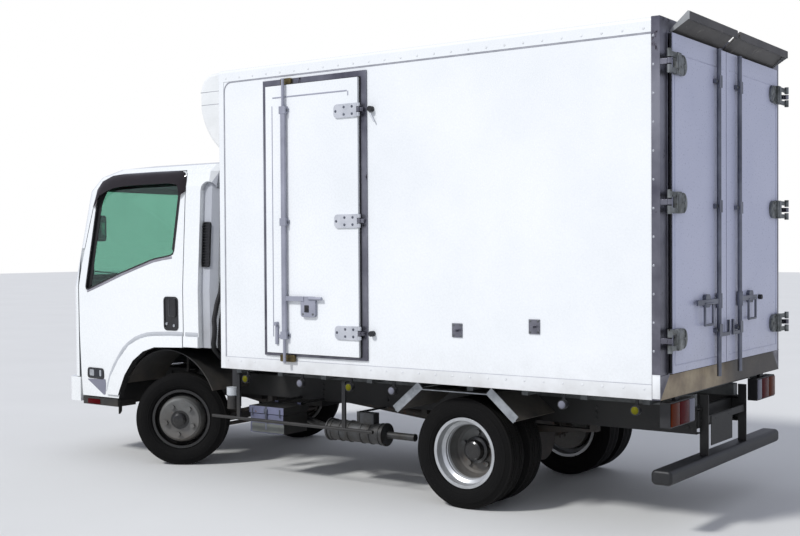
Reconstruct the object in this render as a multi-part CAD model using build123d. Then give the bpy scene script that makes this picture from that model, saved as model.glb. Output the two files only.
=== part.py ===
from build123d import *
import math
import os

os.makedirs("parts", exist_ok=True)

# All sizes are in millimetres. X runs forward from the rear face of the box, Y to the
# truck's left and Z up from the road. Each piece is moved to the middle when it is saved.
REAR_END = -104.0
FRONT_END = 4848.0
MIDDLE_X = (REAR_END + FRONT_END) / 2.0

# The insulated box
BOX_LENGTH = 3115.0
BOX_HALF = 936.0
BOX_BOTTOM = 735.0
BOX_TOP = 2703.0
RAIL_LOW_TOP = 812.0
RAIL_HIGH_BOTTOM = 2625.0
WALL_INSET = 3.0
FLOOR_TOP = 885.0
ROOF_UNDER = 2612.0
POST_DEEP = 47.0
FRONT_POST = 53.0
FRONT_WALL_BACK = 3020.0

# The two doors at the back and the one at the side
DOOR_BOTTOM = 866.0
DOOR_TOP = 2628.0
REAR_DOOR_HALF = 832.0
REAR_OPENING_HALF = 790.0
SPLIT_Y = 60.0
DOOR_FACE_X = -25.0
REAR_PIN_X = -52.0
REAR_PIN_Y = 938.0
SIDE_FRAME = (1876.0, 2706.0, 843.0, 2598.0)
SIDE_DOOR = (1924.0, 2665.0, 868.0, 2552.0)
SIDE_PIN_X = 1912.0
SIDE_PIN_Y = 974.0

# Wheels and steering
REAR_AXLE_X = 1274.0
WHEELBASE = 2490.0
FRONT_AXLE_X = REAR_AXLE_X + WHEELBASE
TYRE_RADIUS = 325.0
TYRE_WIDTH = 184.0
RIM_RADIUS = 208.0
KINGPIN_Y = 612.0
FRONT_WHEEL_Y = 700.0
REAR_INNER_Y = 530.0
REAR_OUTER_Y = 742.0
STEERED = 31.0
ARM_BACK = 140.0
STUD_CIRCLE = 101.6
SEAT_RADIUS = 194.0

# The ladder frame
RAIL_HALF = 350.0
RAIL_TOP_Z = 630.0
RAIL_DEPTH = 150.0
RAIL_FLANGE = 60.0
RAIL_METAL = 6.0

# The cab
CAB_REAR = 3290.0
CAB_WALL = 42.0
SHUT_GAP = 7.5
RECESS = 36.0
TILT_X = 4700.0
TILT_Z = 560.0
DOOR_PIN_X = 4612.0
DOOR_PIN_Y = 826.0


def block(x0, x1, y0, y1, z0, z1):
    middle = ((x0 + x1) / 2.0, (y0 + y1) / 2.0, (z0 + z1) / 2.0)
    return Pos(*middle) * Box(abs(x1 - x0), abs(y1 - y0), abs(z1 - z0))


def rod(start, end, radius):
    a = Vector(*start)
    b = Vector(*end)
    plane = Plane(origin=a, z_dir=b - a)
    return plane * Pos(0, 0, (b - a).length / 2.0) * Cylinder(radius, (b - a).length)


def side_shape(points, y0, y1):
    # A closed outline in X and Z, given a width across the truck
    outline = Polyline(*[(x, 0, z) for x, z in points], close=True)
    face = make_face(outline)
    return Pos(0, y0, 0) * extrude(face, amount=y1 - y0, dir=(0, 1, 0))


def plan_shape(points, z0, z1):
    face = make_face(Polyline(*[(x, y, 0) for x, y in points], close=True))
    return Pos(0, 0, z0) * extrude(face, amount=z1 - z0, dir=(0, 0, 1))


def front_shape(points, x0, x1):
    face = make_face(Polyline(*[(0, y, z) for y, z in points], close=True))
    return Pos(x0, 0, 0) * extrude(face, amount=x1 - x0, dir=(1, 0, 0))


def turned(points):
    # A closed outline of (distance along Y, radius) turned once around the Y axis
    face = make_face(Polyline(*[(r, y, 0) for y, r in points], close=True))
    return revolve(face, axis=Axis.Y)


def nuts(radius, y0, y1, turn):
    # Five hexagon nuts on the stud circle of a wheel, standing out along Y
    found = []
    for count in range(5):
        angle = math.radians(72.0 * count + turn)
        place = Pos(radius * math.cos(angle), y0, radius * math.sin(angle)) * Rot(-90, 0, 0)
        found.append(place * extrude(RegularPolygon(17, 6), amount=y1 - y0))
    return found


def other_side(shape):
    return mirror(shape, about=Plane.XZ)


def both(shape):
    return [shape, other_side(shape)]


def save(name, pieces):
    if not isinstance(pieces, (list, tuple)):
        pieces = [pieces]
    solids = []
    for piece in pieces:
        solids.extend(piece.solids())
    moved = [Pos(-MIDDLE_X, 0, 0) * solid for solid in solids]
    whole = moved[0] if len(moved) == 1 else Compound(children=moved)
    export_step(whole, "parts/" + name + ".step")


# Ladder frame: two channel rails under the box and cab with crossmembers between them
rail_outline = [
    (RAIL_HALF, RAIL_TOP_Z - RAIL_DEPTH),
    (RAIL_HALF, RAIL_TOP_Z),
    (RAIL_HALF - RAIL_FLANGE, RAIL_TOP_Z),
    (RAIL_HALF - RAIL_FLANGE, RAIL_TOP_Z - RAIL_METAL),
    (RAIL_HALF - RAIL_METAL, RAIL_TOP_Z - RAIL_METAL),
    (RAIL_HALF - RAIL_METAL, RAIL_TOP_Z - RAIL_DEPTH + RAIL_METAL),
    (RAIL_HALF - RAIL_FLANGE, RAIL_TOP_Z - RAIL_DEPTH + RAIL_METAL),
    (RAIL_HALF - RAIL_FLANGE, RAIL_TOP_Z - RAIL_DEPTH),
]
rail = front_shape(rail_outline, 40.0, 4560.0)
rails = []
CROSSMEMBER_X = [80.0, 640.0, 1060.0, 1500.0, 2150.0, 2700.0, 4180.0, 4380.0]
for side in (1.0, -1.0):
    bracket = block(4440, 4690, side * 286.0, side * 298.0, 520, 600)
    bracket = bracket + block(4440, 4552, side * 286.0, side * 346.0, 520, 532)
    eye = rod((TILT_X, side * 286.0, TILT_Z), (TILT_X, side * 298.0, TILT_Z), 40)
    channel = rail if side > 0 else other_side(rail)
    rails.append(channel + bracket + eye)
save("frame_rails", rails)
crossmembers = []
for x in CROSSMEMBER_X:
    reach = RAIL_HALF - RAIL_METAL
    web = block(x, x + 8, -reach, reach, 495, 615)
    lip = block(x, x + 40, -reach, reach, 607, 615)
    crossmembers.append(web + lip)
save("crossmembers", crossmembers)

# Bearers: steel sills and cross channels that carry the box on the ladder frame
bearers = block(60, 3060, 290, 350, RAIL_TOP_Z, 700)
bearers = bearers + other_side(bearers)
for count in range(9):
    x = 90.0 + count * 362.0
    bearers = bearers + block(x, x + 40, -868, 868, 700, BOX_BOTTOM)
save("box_bearers", bearers)

# Box floor: an insulated slab with the aluminium rail that shows along each side
floor = block(POST_DEEP, FRONT_WALL_BACK, -858, 858, BOX_BOTTOM, FLOOR_TOP)
side_rail = block(POST_DEEP, BOX_LENGTH - FRONT_POST, 858, BOX_HALF, BOX_BOTTOM, RAIL_LOW_TOP)
floor = floor + side_rail + other_side(side_rail)
save("box_floor", floor)

# Box side walls: flat insulated panels, the left one cut for the side door
right_wall = block(
    POST_DEEP, BOX_LENGTH - FRONT_POST, -BOX_HALF + WALL_INSET, -858, RAIL_LOW_TOP, RAIL_HIGH_BOTTOM
)
left_wall = other_side(right_wall)
fx0, fx1, fz0, fz1 = SIDE_FRAME
left_wall = left_wall - block(fx0 + 8, fx1 - 8, 800, 1000, fz0 + 8, fz1 - 8)
save("box_right_wall", right_wall)
save("box_left_wall", left_wall)

# Box front wall: an insulated panel between two aluminium corner posts
front_wall = block(FRONT_WALL_BACK, BOX_LENGTH - WALL_INSET, -858, 858, BOX_BOTTOM, ROOF_UNDER)
post = block(BOX_LENGTH - FRONT_POST, BOX_LENGTH, 858, BOX_HALF, BOX_BOTTOM, RAIL_HIGH_BOTTOM)
post = fillet(post.edges().filter_by(Axis.Z).sort_by(lambda e: e.center().X + e.center().Y)[-1], 20)
front_wall = front_wall + post + other_side(post)
save("box_front_wall", front_wall)

# Box roof: an insulated slab whose edge rails are rounded along the top
roof_slab = block(POST_DEEP, BOX_LENGTH, -BOX_HALF, BOX_HALF, RAIL_HIGH_BOTTOM, BOX_TOP)
roof_edges = roof_slab.edges().filter_by(Axis.X).group_by(Axis.Z)[-1]
roof_slab = fillet(roof_edges, 22)
front_edge = roof_slab.edges().filter_by(Axis.Y).group_by(Axis.X)[-1].sort_by(Axis.Z)[-1]
roof_slab = fillet(front_edge, 16)
under_slab = block(POST_DEEP, FRONT_WALL_BACK, -858, 858, ROOF_UNDER, RAIL_HIGH_BOTTOM)
save("box_roof", roof_slab + under_slab)

# Rear frame: the stainless portal that the two rear doors close against
portal = block(0, POST_DEEP, -938, 938, BOX_BOTTOM, BOX_TOP)
portal = portal - block(-10, 100, -REAR_OPENING_HALF, REAR_OPENING_HALF, FLOOR_TOP, 2600)
for side in (1.0, -1.0):
    for z in (1042.0, 1752.0, 2468.0):
        arm = block(-40, 10, side * 915.0, side * 936.0, z - 14, z + 14)
        portal = portal + arm
        pin = rod((REAR_PIN_X, side * REAR_PIN_Y, z - 14), (REAR_PIN_X, side * REAR_PIN_Y, z + 14), 13)
        portal = portal + pin
save("rear_frame", portal)

# Side door frame: a stainless surround set in the left wall
surround = block(fx0, fx1, 933, 944, fz0, fz1) + block(fx0 + 8, fx1 - 8, 862, 934, fz0 + 8, fz1 - 8)
surround = surround - block(fx0 + 48, fx1 - 41, 800, 1000, fz0 + 25, fz1 - 46)
for z in (1010.0, 1690.0, 2360.0):
    lug = block(1888, 1924, 940, SIDE_PIN_Y, z - 12, z + 12)
    surround = surround + lug
    surround = surround + rod((SIDE_PIN_X, SIDE_PIN_Y, z - 12), (SIDE_PIN_X, SIDE_PIN_Y, z + 12), 11)
for x0, x1, z0, z1 in ((2443, 2563, 808, 852), (2460, 2546, 2562, 2600)):
    surround = surround + fillet(block(x0, x1, 940, 958, z0, z1).edges().filter_by(Axis.Y), 8)
save("side_door_frame", surround)

# Rain hood over the rear doors: two bent plates with a notch between them
hood_outline = [(0, 2640), (0, 2652), (-95, 2738), (-104, 2735), (-104, 2692), (-98, 2692), (-98, 2722)]
hood = []
for y0, y1 in ((90.0, 800.0), (-800.0, 40.0)):
    half_hood = side_shape(hood_outline, y0, y1)
    outer = 800.0 if y0 > 0 else -800.0
    inner = outer - 3.0 if y0 > 0 else outer + 3.0
    half_hood = half_hood + side_shape([(0, 2632), (0, 2652), (-98, 2737), (-100, 2694)], inner, outer)
    hood.append(half_hood)
save("rear_hood", hood)

# Refrigeration unit: the moulded housing on the nose of the box above the cab
x0 = BOX_LENGTH
unit_lines = [
    Line((x0, 0, 2190), (3300, 0, 2190)),
    ThreePointArc((3300, 0, 2190), (3436, 0, 2316), (3516, 0, 2505)),
    Line((3516, 0, 2505), (3516, 0, 2600)),
    ThreePointArc((3516, 0, 2600), (3494, 0, 2684), (3420, 0, 2738)),
    Line((3420, 0, 2738), (3300, 0, 2748)),
    Line((3300, 0, 2748), (x0 + 20, 0, 2748)),
    Line((x0 + 20, 0, 2748), (x0 + 20, 0, 2716)),
    Line((x0 + 20, 0, 2716), (x0, 0, 2690)),
    Line((x0, 0, 2690), (x0, 0, 2190)),
]
unit = Pos(0, -700, 0) * extrude(make_face(unit_lines), amount=1400, dir=(0, 1, 0))
side_edges = [e for e in unit.edges() if abs(abs(e.center().Y) - 700) < 1 and e.center().X > 3310]
unit = fillet(side_edges, 24)
save("fridge_unit", unit)

# Evaporator: the fan case of the unit inside the box under its roof
evaporator = block(2700, FRONT_WALL_BACK, -450, 450, 2400, ROOF_UNDER)
save("evaporator", evaporator)

# Hold-back hooks: they keep the side door and the left rear door open against the wall
holdbacks = []
for x, z in ((1236.0, 1052.0), (734.0, 1090.0)):
    plate = block(x - 34, x + 34, 933, 939, z - 40, z + 40)
    hook = block(x - 10, x + 10, 939, 972, z - 6, z + 6)
    holdbacks.append(plate + hook)
for z in (1010.0, 2360.0):
    holdbacks.append(rod((1838, 933, z), (1838, 962, z), 17))
save("hold_backs", holdbacks)

# Front axle: a dropped beam between the two kingpins
beam_outline = [
    (-590, 300),
    (-470, 300),
    (-400, 245),
    (400, 245),
    (470, 300),
    (590, 300),
    (590, 360),
    (450, 360),
    (380, 305),
    (-380, 305),
    (-450, 360),
    (-590, 360),
]
axle_beam = front_shape(beam_outline, FRONT_AXLE_X - 35, FRONT_AXLE_X + 35)
for side in (1.0, -1.0):
    boss = rod((FRONT_AXLE_X, side * KINGPIN_Y, 292), (FRONT_AXLE_X, side * KINGPIN_Y, 358), 32)
    axle_beam = axle_beam + boss
save("front_axle", axle_beam)

# Leaf springs: one stack over each axle end, hung from brackets on the rails
SPRINGS = [
    {"axle": FRONT_AXLE_X, "half": 560.0, "seat": 308.0, "end": 430.0, "thick": 34.0},
    {"axle": REAR_AXLE_X, "half": 600.0, "seat": 400.0, "end": 440.0, "thick": 56.0},
]
springs = []
for spring in SPRINGS:
    x = spring["axle"]
    low = spring["seat"]
    high = spring["end"]
    thick = spring["thick"]
    half = spring["half"]
    stack = [
        (x - half, high),
        (x - half * 0.5, low + (high - low) * 0.3),
        (x - 60, low),
        (x + 60, low),
        (x + half * 0.5, low + (high - low) * 0.3),
        (x + half, high),
        (x + half, high + 14),
        (x + half * 0.5, low + (high - low) * 0.3 + thick * 0.7),
        (x + 60, low + thick),
        (x - 60, low + thick),
        (x - half * 0.5, low + (high - low) * 0.3 + thick * 0.7),
        (x - half, high + 14),
    ]
    leaf = side_shape(stack, 295, 345)
    for end in (-1.0, 1.0):
        hanger = block(x + end * half - 22, x + end * half + 22, 295, 345, high, RAIL_TOP_Z - RAIL_DEPTH)
        leaf = leaf + hanger
    springs.extend(both(leaf))
save("leaf_springs", springs)

# Rear axle: a tube housing with the differential case in the middle
rear_axle = rod((REAR_AXLE_X, -455, TYRE_RADIUS), (REAR_AXLE_X, 455, TYRE_RADIUS), 48)
banjo = rod((REAR_AXLE_X - 85, 0, TYRE_RADIUS), (REAR_AXLE_X + 85, 0, TYRE_RADIUS), 150)
nose = rod((REAR_AXLE_X + 80, 0, TYRE_RADIUS), (REAR_AXLE_X + 210, 0, TYRE_RADIUS + 10), 62)
rear_axle = rear_axle + banjo + nose
for side in (1.0, -1.0):
    pad = block(REAR_AXLE_X - 60, REAR_AXLE_X + 60, side * 292.0, side * 348.0, 340, 400)
    rear_axle = rear_axle + pad
save("rear_axle", rear_axle)

# Propeller shaft from the gearbox to the rear axle
shaft = rod((REAR_AXLE_X + 212, 0, TYRE_RADIUS + 12), (2900, 0, 470), 34)
save("propeller_shaft", shaft)

# Engine and gearbox: one plain block where the heavy mass sits
engine = block(3350, 4080, -270, 270, 440, 900) + block(2905, 3350, -130, 130, 400, 600)
save("powertrain", engine)

# Exhaust: a silencer along the left rail with its tail pipe
silencer = rod((1960, 640, 350), (2400, 640, 350), 66)
pipe_front = rod((2395, 640, 350), (2900, 420, 380), 22)
pipe_back = rod((1965, 640, 350), (1740, 640, 350), 22)
hanger = block(2170, 2190, 345, 640, 470, 480) + block(2170, 2190, 632, 648, 400, 480)
for x in (1990.0, 2060.0, 2130.0, 2230.0, 2300.0, 2370.0):
    silencer = silencer + rod((x - 5, 640, 350), (x + 5, 640, 350), 70)
silencer = silencer + block(2040, 2150, 610, 670, 410, 480)
save("exhaust", silencer + pipe_front + pipe_back + hanger)

# Fuel tank on the right rail
tank = block(1960, 2600, -780, -440, 330, 610)
tank = fillet(tank.edges().filter_by(Axis.X), 50)
strap = block(2080, 2110, -441, -350, 500, 600) + block(2450, 2480, -441, -350, 500, 600)
save("fuel_tank", tank + strap)

# Battery box hung under the left side of the box
battery = block(2676, 2964, 566, 806, 306, 432) + block(2668, 2970, 560, 812, 436, 483)
battery = battery + block(2690, 2950, 580, 792, 430, 438)
battery = battery + block(2700, 2730, 350, 600, 483, 495) + block(2900, 2930, 350, 600, 483, 495)
save("battery_box", battery)

# Rear under-run bar on two drop plates, with the blank plate holder between them
BAR_LOW = 282.0
BAR_HIGH = 362.0
bar = block(-28, 88, -865, 865, BAR_LOW, BAR_HIGH)
bar = fillet(bar.edges().filter_by(Axis.Y), 26)
bar = fillet(bar.edges().filter_by(Axis.Z), 18)
for side in (1.0, -1.0):
    bar = bar + block(-12, 38, side * 300.0, side * 308.0, BAR_HIGH - 30, 700)
    bar = bar + block(30, 78, side * 300.0, side * 343.0, 520, 612)
PLATE_Y = 80.0
PLATE_HALF = 165.0
plate = block(-6, -2, PLATE_Y - PLATE_HALF, PLATE_Y + PLATE_HALF, 410, 575)
plate = plate + block(-2, 6, PLATE_Y - 190, 302, 540, 580) + block(-2, 6, -302, PLATE_Y, 540, 580)
for offset_y in (-105.0, 105.0):
    plate = plate - rod((-40, PLATE_Y + offset_y, 557), (20, PLATE_Y + offset_y, 557), 3.5)
save("rear_underrun", bar + plate)

# Lamps on the chassis: two rear clusters and a row of small side markers
lamps = []
for side in (1.0, -1.0):
    cluster = block(-8, 50, side * 505.0, side * 830.0, 578, 712)
    arm = block(20, 40, side * 640.0, side * 700.0, 712, BOX_BOTTOM)
    lamps.append(cluster + arm)
    for x in (148.0, 574.0, 1715.0, 2040.0, 2433.0, 2901.0):
        marker = rod((x, side * 895.0, 672), (x, side * 925.0, 672), 26)
        lamps.append(marker + block(x - 8, x + 8, side * 890.0, side * 900.0, 672, BOX_BOTTOM))
save("lamps", lamps)

# Side guards: a thin tube along each side between the wheels on drop hangers
guards = []
for side in (1.0, -1.0):
    guard = rod((1888, side * 880.0, 402), (3240, side * 880.0, 402), 11)
    for x in (2110.0, 3000.0):
        guard = guard + block(x - 14, x + 14, side * 874.0, side * 886.0, 402, 700)
    guards.append(guard)
save("side_guards", guards)

# Mudguards over the rear wheels: a bent plate on stays
guards = []
arch = [
    (1720, 552),
    (1540, 692),
    (1060, 692),
    (885, 552),
    (890, 547),
    (1062, 686),
    (1538, 686),
    (1716, 547),
]
mudguard = side_shape(arch, 420, 880)
for x in (1100.0, 1480.0):
    mudguard = mudguard + block(x - 10, x + 10, 600, 620, 690, BOX_BOTTOM)
for x0, z0, x1, z1 in ((1719, 557, 1535, 712), (887, 557, 1063, 709)):
    step = 17.0 if x1 < x0 else -17.0
    lip = [(x0 - step, z0 - 19), (x0 + step, z0 + 19), (x1 + step, z1 + 19), (x1 - step, z1 - 19)]
    mudguard = mudguard + side_shape(lip, 874, 880)

# Front wheel arches: bent liners over the steered wheels on stays from the frame
liner = rod((FRONT_AXLE_X, 430, TYRE_RADIUS), (FRONT_AXLE_X, 788, TYRE_RADIUS), 491)
liner = liner - rod((FRONT_AXLE_X, 400, TYRE_RADIUS), (FRONT_AXLE_X, 800, TYRE_RADIUS), 485)
liner = liner & block(3320, 4210, 420, 800, 552, 900)
for x in (3600.0, 3930.0):
    liner = liner + block(x - 10, x + 10, RAIL_HALF, 440, 604, 624)
    liner = liner + block(x - 10, x + 10, 430, 440, 604, 784)
save("mudguards", both(mudguard) + both(liner))


# Knuckles: each carries its front wheel and turns about the upright kingpin
def steered(shape, side):
    # The front wheels stand turned to the left in the photograph
    pivot = Pos(FRONT_AXLE_X, side * KINGPIN_Y, 0)
    return pivot * Rot(0, 0, STEERED) * Pos(-FRONT_AXLE_X, -side * KINGPIN_Y, 0) * shape


for side, name in ((1.0, "knuckle_left"), (-1.0, "knuckle_right")):
    top = rod((FRONT_AXLE_X, side * KINGPIN_Y, 364), (FRONT_AXLE_X, side * KINGPIN_Y, 392), 30)
    low = rod((FRONT_AXLE_X, side * KINGPIN_Y, 258), (FRONT_AXLE_X, side * KINGPIN_Y, 286), 30)
    yoke = block(FRONT_AXLE_X - 30, FRONT_AXLE_X + 30, side * 650.0, side * 664.0, 258, 392)
    bridge_top = block(FRONT_AXLE_X - 24, FRONT_AXLE_X + 24, side * 612.0, side * 660.0, 366, 390)
    bridge_low = block(FRONT_AXLE_X - 24, FRONT_AXLE_X + 24, side * 612.0, side * 660.0, 260, 284)
    backing = rod((FRONT_AXLE_X, side * 652.0, TYRE_RADIUS), (FRONT_AXLE_X, side * 660.0, TYRE_RADIUS), 140)
    spindle = rod((FRONT_AXLE_X, side * 655.0, TYRE_RADIUS), (FRONT_AXLE_X, side * 735.0, TYRE_RADIUS), 20)
    arm = block(FRONT_AXLE_X - ARM_BACK - 20, FRONT_AXLE_X, side * 601.0, side * 623.0, 262, 280)
    knuckle = top + low + yoke + bridge_top + bridge_low + backing + spindle + arm
    save(name, steered(knuckle, side))

# Tie rod: joins the two steering arms behind the axle beam
ball_left = steered(Pos(FRONT_AXLE_X - ARM_BACK, KINGPIN_Y, 0) * Sphere(1), 1.0).center()
ball_right = steered(Pos(FRONT_AXLE_X - ARM_BACK, -KINGPIN_Y, 0) * Sphere(1), -1.0).center()
end_left = (ball_left.X, ball_left.Y, 242)
end_right = (ball_right.X, ball_right.Y, 242)
tie_rod = rod(end_left, end_right, 14)
for x, y, z in (end_left, end_right):
    tie_rod = tie_rod + rod((x, y, 224), (x, y, 256), 19)
save("tie_rod", tie_rod)

# Tyres: one closed ring with rounded shoulders, made once and placed six times
half = TYRE_WIDTH / 2.0
bead = RIM_RADIUS + 2.0
tyre_outline = [
    (-half * 0.66, bead),
    (-half, 262),
    (-half * 0.97, 290),
    (-half * 0.78, 318),
    (-half * 0.4, TYRE_RADIUS),
    (half * 0.4, TYRE_RADIUS),
    (half * 0.78, 318),
    (half * 0.97, 290),
    (half, 262),
    (half * 0.66, bead),
    (56, SEAT_RADIUS),
    (-56, SEAT_RADIUS),
]
tyre = turned(tyre_outline)

# Rims: pressed steel with a rolled flange, a well and a disc with five studs
barrel_outline = [
    (-70, 190),
    (-70, 208),
    (-64, 208),
    (-60, SEAT_RADIUS),
    (-22, SEAT_RADIUS),
    (-8, 170),
    (12, 170),
    (26, SEAT_RADIUS),
    (60, SEAT_RADIUS),
    (64, 208),
    (70, 208),
    (70, 190),
    (64, 188),
    (28, 184),
    (16, 164),
    (-12, 164),
    (-24, 184),
    (-64, 188),
]
barrel = turned(barrel_outline)


# The front disc stands out past the flange and the rear one is the same disc turned in
DISC_OUTLINE = [
    (-4, 168),
    (8, 168),
    (60, 160),
    (90, 150),
    (104, 136),
    (104, 60),
    (96, 60),
    (96, 130),
    (84, 142),
    (56, 152),
    (4, 160),
]
front_hub = turned([
    (-31, 0),
    (-31, 118),
    (-4, 118),
    (-4, 64),
    (78, 64),
    (78, 116),
    (98, 116),
    (98, 64),
    (110, 64),
    (110, 46),
    (130, 46),
    (140, 34),
    (144, 0),
])
front_rim = barrel + turned(DISC_OUTLINE) + front_hub
for nut in nuts(STUD_CIRCLE, 102, 126, 60.0):
    front_rim = front_rim + nut
front_rim = front_rim - rod((0, -60, 0), (0, 40, 0), 22)

FRONT_WHEELS = [
    {"side": 1.0, "end": "left"},
    {"side": -1.0, "end": "right"},
]
for wheel in FRONT_WHEELS:
    side = wheel["side"]
    place = Pos(FRONT_AXLE_X, side * FRONT_WHEEL_Y, TYRE_RADIUS)
    shapes = (tyre, front_rim)
    for piece, kind in zip(shapes, ("tyre", "rim")):
        shape = piece if side > 0 else other_side(piece)
        save(kind + "_front_" + wheel["end"], steered(place * shape, side))

# Rear wheels: each side carries two rims back to back on one hub and drum
gap = REAR_OUTER_Y - REAR_INNER_Y
inner_rim = barrel + turned(DISC_OUTLINE)
outer_rim = other_side(inner_rim)
hub = turned([
    (-70, 0),
    (-70, 152),
    (-20, 152),
    (-20, 112),
    (100, 112),
    (100, 78),
    (150, 78),
    (156, 62),
    (190, 56),
    (196, 46),
    (196, 0),
])
rear_rims = inner_rim + Pos(0, gap + 2, 0) * outer_rim + hub
for nut in nuts(STUD_CIRCLE, 108, 136, 18.0):
    rear_rims = rear_rims + nut
for side, end in ((1.0, "left"), (-1.0, "right")):
    place = Pos(REAR_AXLE_X, side * REAR_INNER_Y, TYRE_RADIUS)
    both_tyres = [tyre, Pos(0, gap + 2, 0) * tyre]
    if side < 0:
        both_tyres = [other_side(piece) for piece in both_tyres]
    save("tyres_rear_" + end, [place * piece for piece in both_tyres])
    rims = rear_rims if side > 0 else other_side(rear_rims)
    save("rims_rear_" + end, place * rims)


# Cab shell: level sections of lines and arcs joined into one skin
def cab_section(z, half, front, rear, inset, corner=190.0):
    w = half - inset
    f = front - inset
    r = corner - inset
    back = rear + inset
    c = 40.0
    bulge = 24.0
    k = math.sqrt(0.5)
    rear_line = Line((back, -w + c, z), (back, w - c, z))
    corner_1 = Line((back, w - c, z), (back + c, w, z))
    left = Line((back + c, w, z), (f - r, w, z))
    round_1 = ThreePointArc((f - r, w, z), (f - r + r * k, w - r + r * k, z), (f, w - r, z))
    nose = ThreePointArc((f, w - r, z), (f + bulge, 0, z), (f, -w + r, z))
    round_2 = ThreePointArc((f, -w + r, z), (f - r + r * k, -w + r - r * k, z), (f - r, -w, z))
    right = Line((f - r, -w, z), (back + c, -w, z))
    corner_2 = Line((back + c, -w, z), (back, -w + c, z))
    return make_face([rear_line, corner_1, left, round_1, nose, round_2, right, corner_2])


CAB_LEVELS = [
    {"z": 442.0, "half": 838.0, "front": 4820.0, "drop": 20.0},
    {"z": 1250.0, "half": 848.0, "front": 4812.0, "drop": 0.0},
    {"z": 1960.0, "half": 812.0, "front": 4658.0, "drop": 0.0},
    {"z": 2060.0, "half": 790.0, "front": 4560.0, "drop": 14.0},
    {"z": 2112.0, "half": 730.0, "front": 4420.0, "drop": 34.0},
    {"z": 2134.0, "half": 600.0, "front": 4250.0, "drop": 42.0},
]
CAB_SPLIT_Z = 2048.0
outer_faces = []
inner_faces = []
for level in CAB_LEVELS:
    outer_faces.append(cab_section(level["z"], level["half"], level["front"], CAB_REAR, 0.0))
    low_z = level["z"] - level["drop"]
    inner_faces.append(cab_section(low_z, level["half"], level["front"], CAB_REAR, CAB_WALL))
cab_solid = loft(outer_faces, ruled=True)
cab_hollow = loft(inner_faces, ruled=True)
shell = cab_solid - cab_hollow

# The openings in the shell: wheel arches, windows and the doors with their gaps
arch_line = [(3557, 843), (3840, 833), (3956, 798), (4064, 726), (4152, 619), (4209, 504), (4232, 442)]
door_line = [
    (4626, 442),
    (4638, 600),
    (4652, 925),
    (4652, 1258),
    (4629, 1413),
    (4500, 1871),
    (4466, 1955),
    (4420, 2020),
    (4325, 2058),
    (4212, 2068),
    (3576, 2068),
    (3556, 2048),
]
door_outline = arch_line + door_line
door_prism = side_shape(door_outline, 560, 900)
window_outline = [
    (4290, 2030),
    (4392, 1998),
    (4468, 1880),
    (4572, 1226),
    (4179, 1362),
    (3857, 1458),
    (3655, 1488),
    (3600, 1940),
    (3612, 2002),
    (3645, 2030),
]

window_prism = side_shape(window_outline, 560, 900)


def skin_between(outer_inset, inner_inset, first, last):
    # A thin skin that follows the cab between two depths under its outer face
    skins = []
    for inset in (outer_inset, inner_inset):
        rows = [cab_section(l["z"], l["half"], l["front"], CAB_REAR, inset) for l in CAB_LEVELS[first:last]]
        skins.append(loft(rows, ruled=True))
    return skins[0] - skins[1]


def grown(points, amount):
    # The same outline with every edge moved outward by the shut gap
    wire = Polyline(*[(x, z) for x, z in points], close=True)
    face = offset(make_face(wire), amount=amount, kind=Kind.INTERSECTION)
    flat = extrude(face, amount=340)
    return Pos(0, 900, 0) * Rot(90, 0, 0) * flat


door_cut = grown(door_outline, SHUT_GAP)
lower_line = [(3200, 400), (3200, 843), (3562, 843), (3840, 833), (4064, 726), (4232, 442), (4232, 400)]
lower_cut = side_shape(lower_line, 560, 900)

flare_line = [(3560, 923), (3849, 912), (3976, 892), (4106, 835), (4216, 726), (4307, 595), (4350, 466)]
flare_low = [(4224, 466), (4209, 504), (4152, 619), (4064, 726), (3956, 798), (3840, 833), (3560, 843)]
flare = side_shape(flare_line + flare_low, 818, 852)
cab_left_door = (shell & door_prism) - window_prism + flare
pocket = rod((DOOR_PIN_X, DOOR_PIN_Y, 400), (DOOR_PIN_X, DOOR_PIN_Y, 1536), 54)

body = shell & block(3000, 5000, -1000, 1000, 578, 2300)
body = body - door_cut - other_side(door_cut) - lower_cut - other_side(lower_cut)
body = body - pocket - other_side(pocket)
body = body - block(3000, 3562, -900, 900, 400, 846)
body = body - block(3000, 3562, -345, 345, 400, 990)

# Cab roof, rear wall, sides and front: the shell split where the real panels meet
roof_part = body & block(3000, 5000, -1000, 1000, CAB_SPLIT_Z, 2300)
low_part = body - block(3000, 5000, -1000, 1000, CAB_SPLIT_Z, 2300)
rear_part = low_part & block(3000, 3700, -1000, 1000, 400, 2300)
front_half = low_part & block(4300, 5000, 0, 1000, 400, 2300)
front_part = front_half + other_side(front_half)
narrow = []
for inset in (0.0, CAB_WALL):
    levels = [cab_section(l["z"], l["half"] - RECESS, l["front"], CAB_REAR, inset) for l in CAB_LEVELS[:5]]
    narrow.append(loft(levels, ruled=True))
back_skin = (narrow[0] - narrow[1]) & block(3000, 3414, -1000, 1000, 846, CAB_SPLIT_Z)
back_skin = back_skin - block(3200, 3400, -520, 520, 1480, 1900)
back_skin = back_skin - block(3000, 3562, -345, 345, 400, 990)
corner_skin = rear_part & block(3406, 3700, -1000, 1000, 400, 2300)
recess_head = rear_part & block(3280, 3408, -1000, 1000, 1930, CAB_SPLIT_Z)
recess_head = recess_head - rod((3346, -900, 1930), (3346, 900, 1930), 58)
rear_wall = back_skin + corner_skin + recess_head
rear_flare = block(3408, 3549, 815, 852, 848, 922)
rear_wall = rear_wall + rear_flare + other_side(rear_flare)
save("cab_rear_wall", rear_wall)
save("cab_roof", roof_part)

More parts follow.
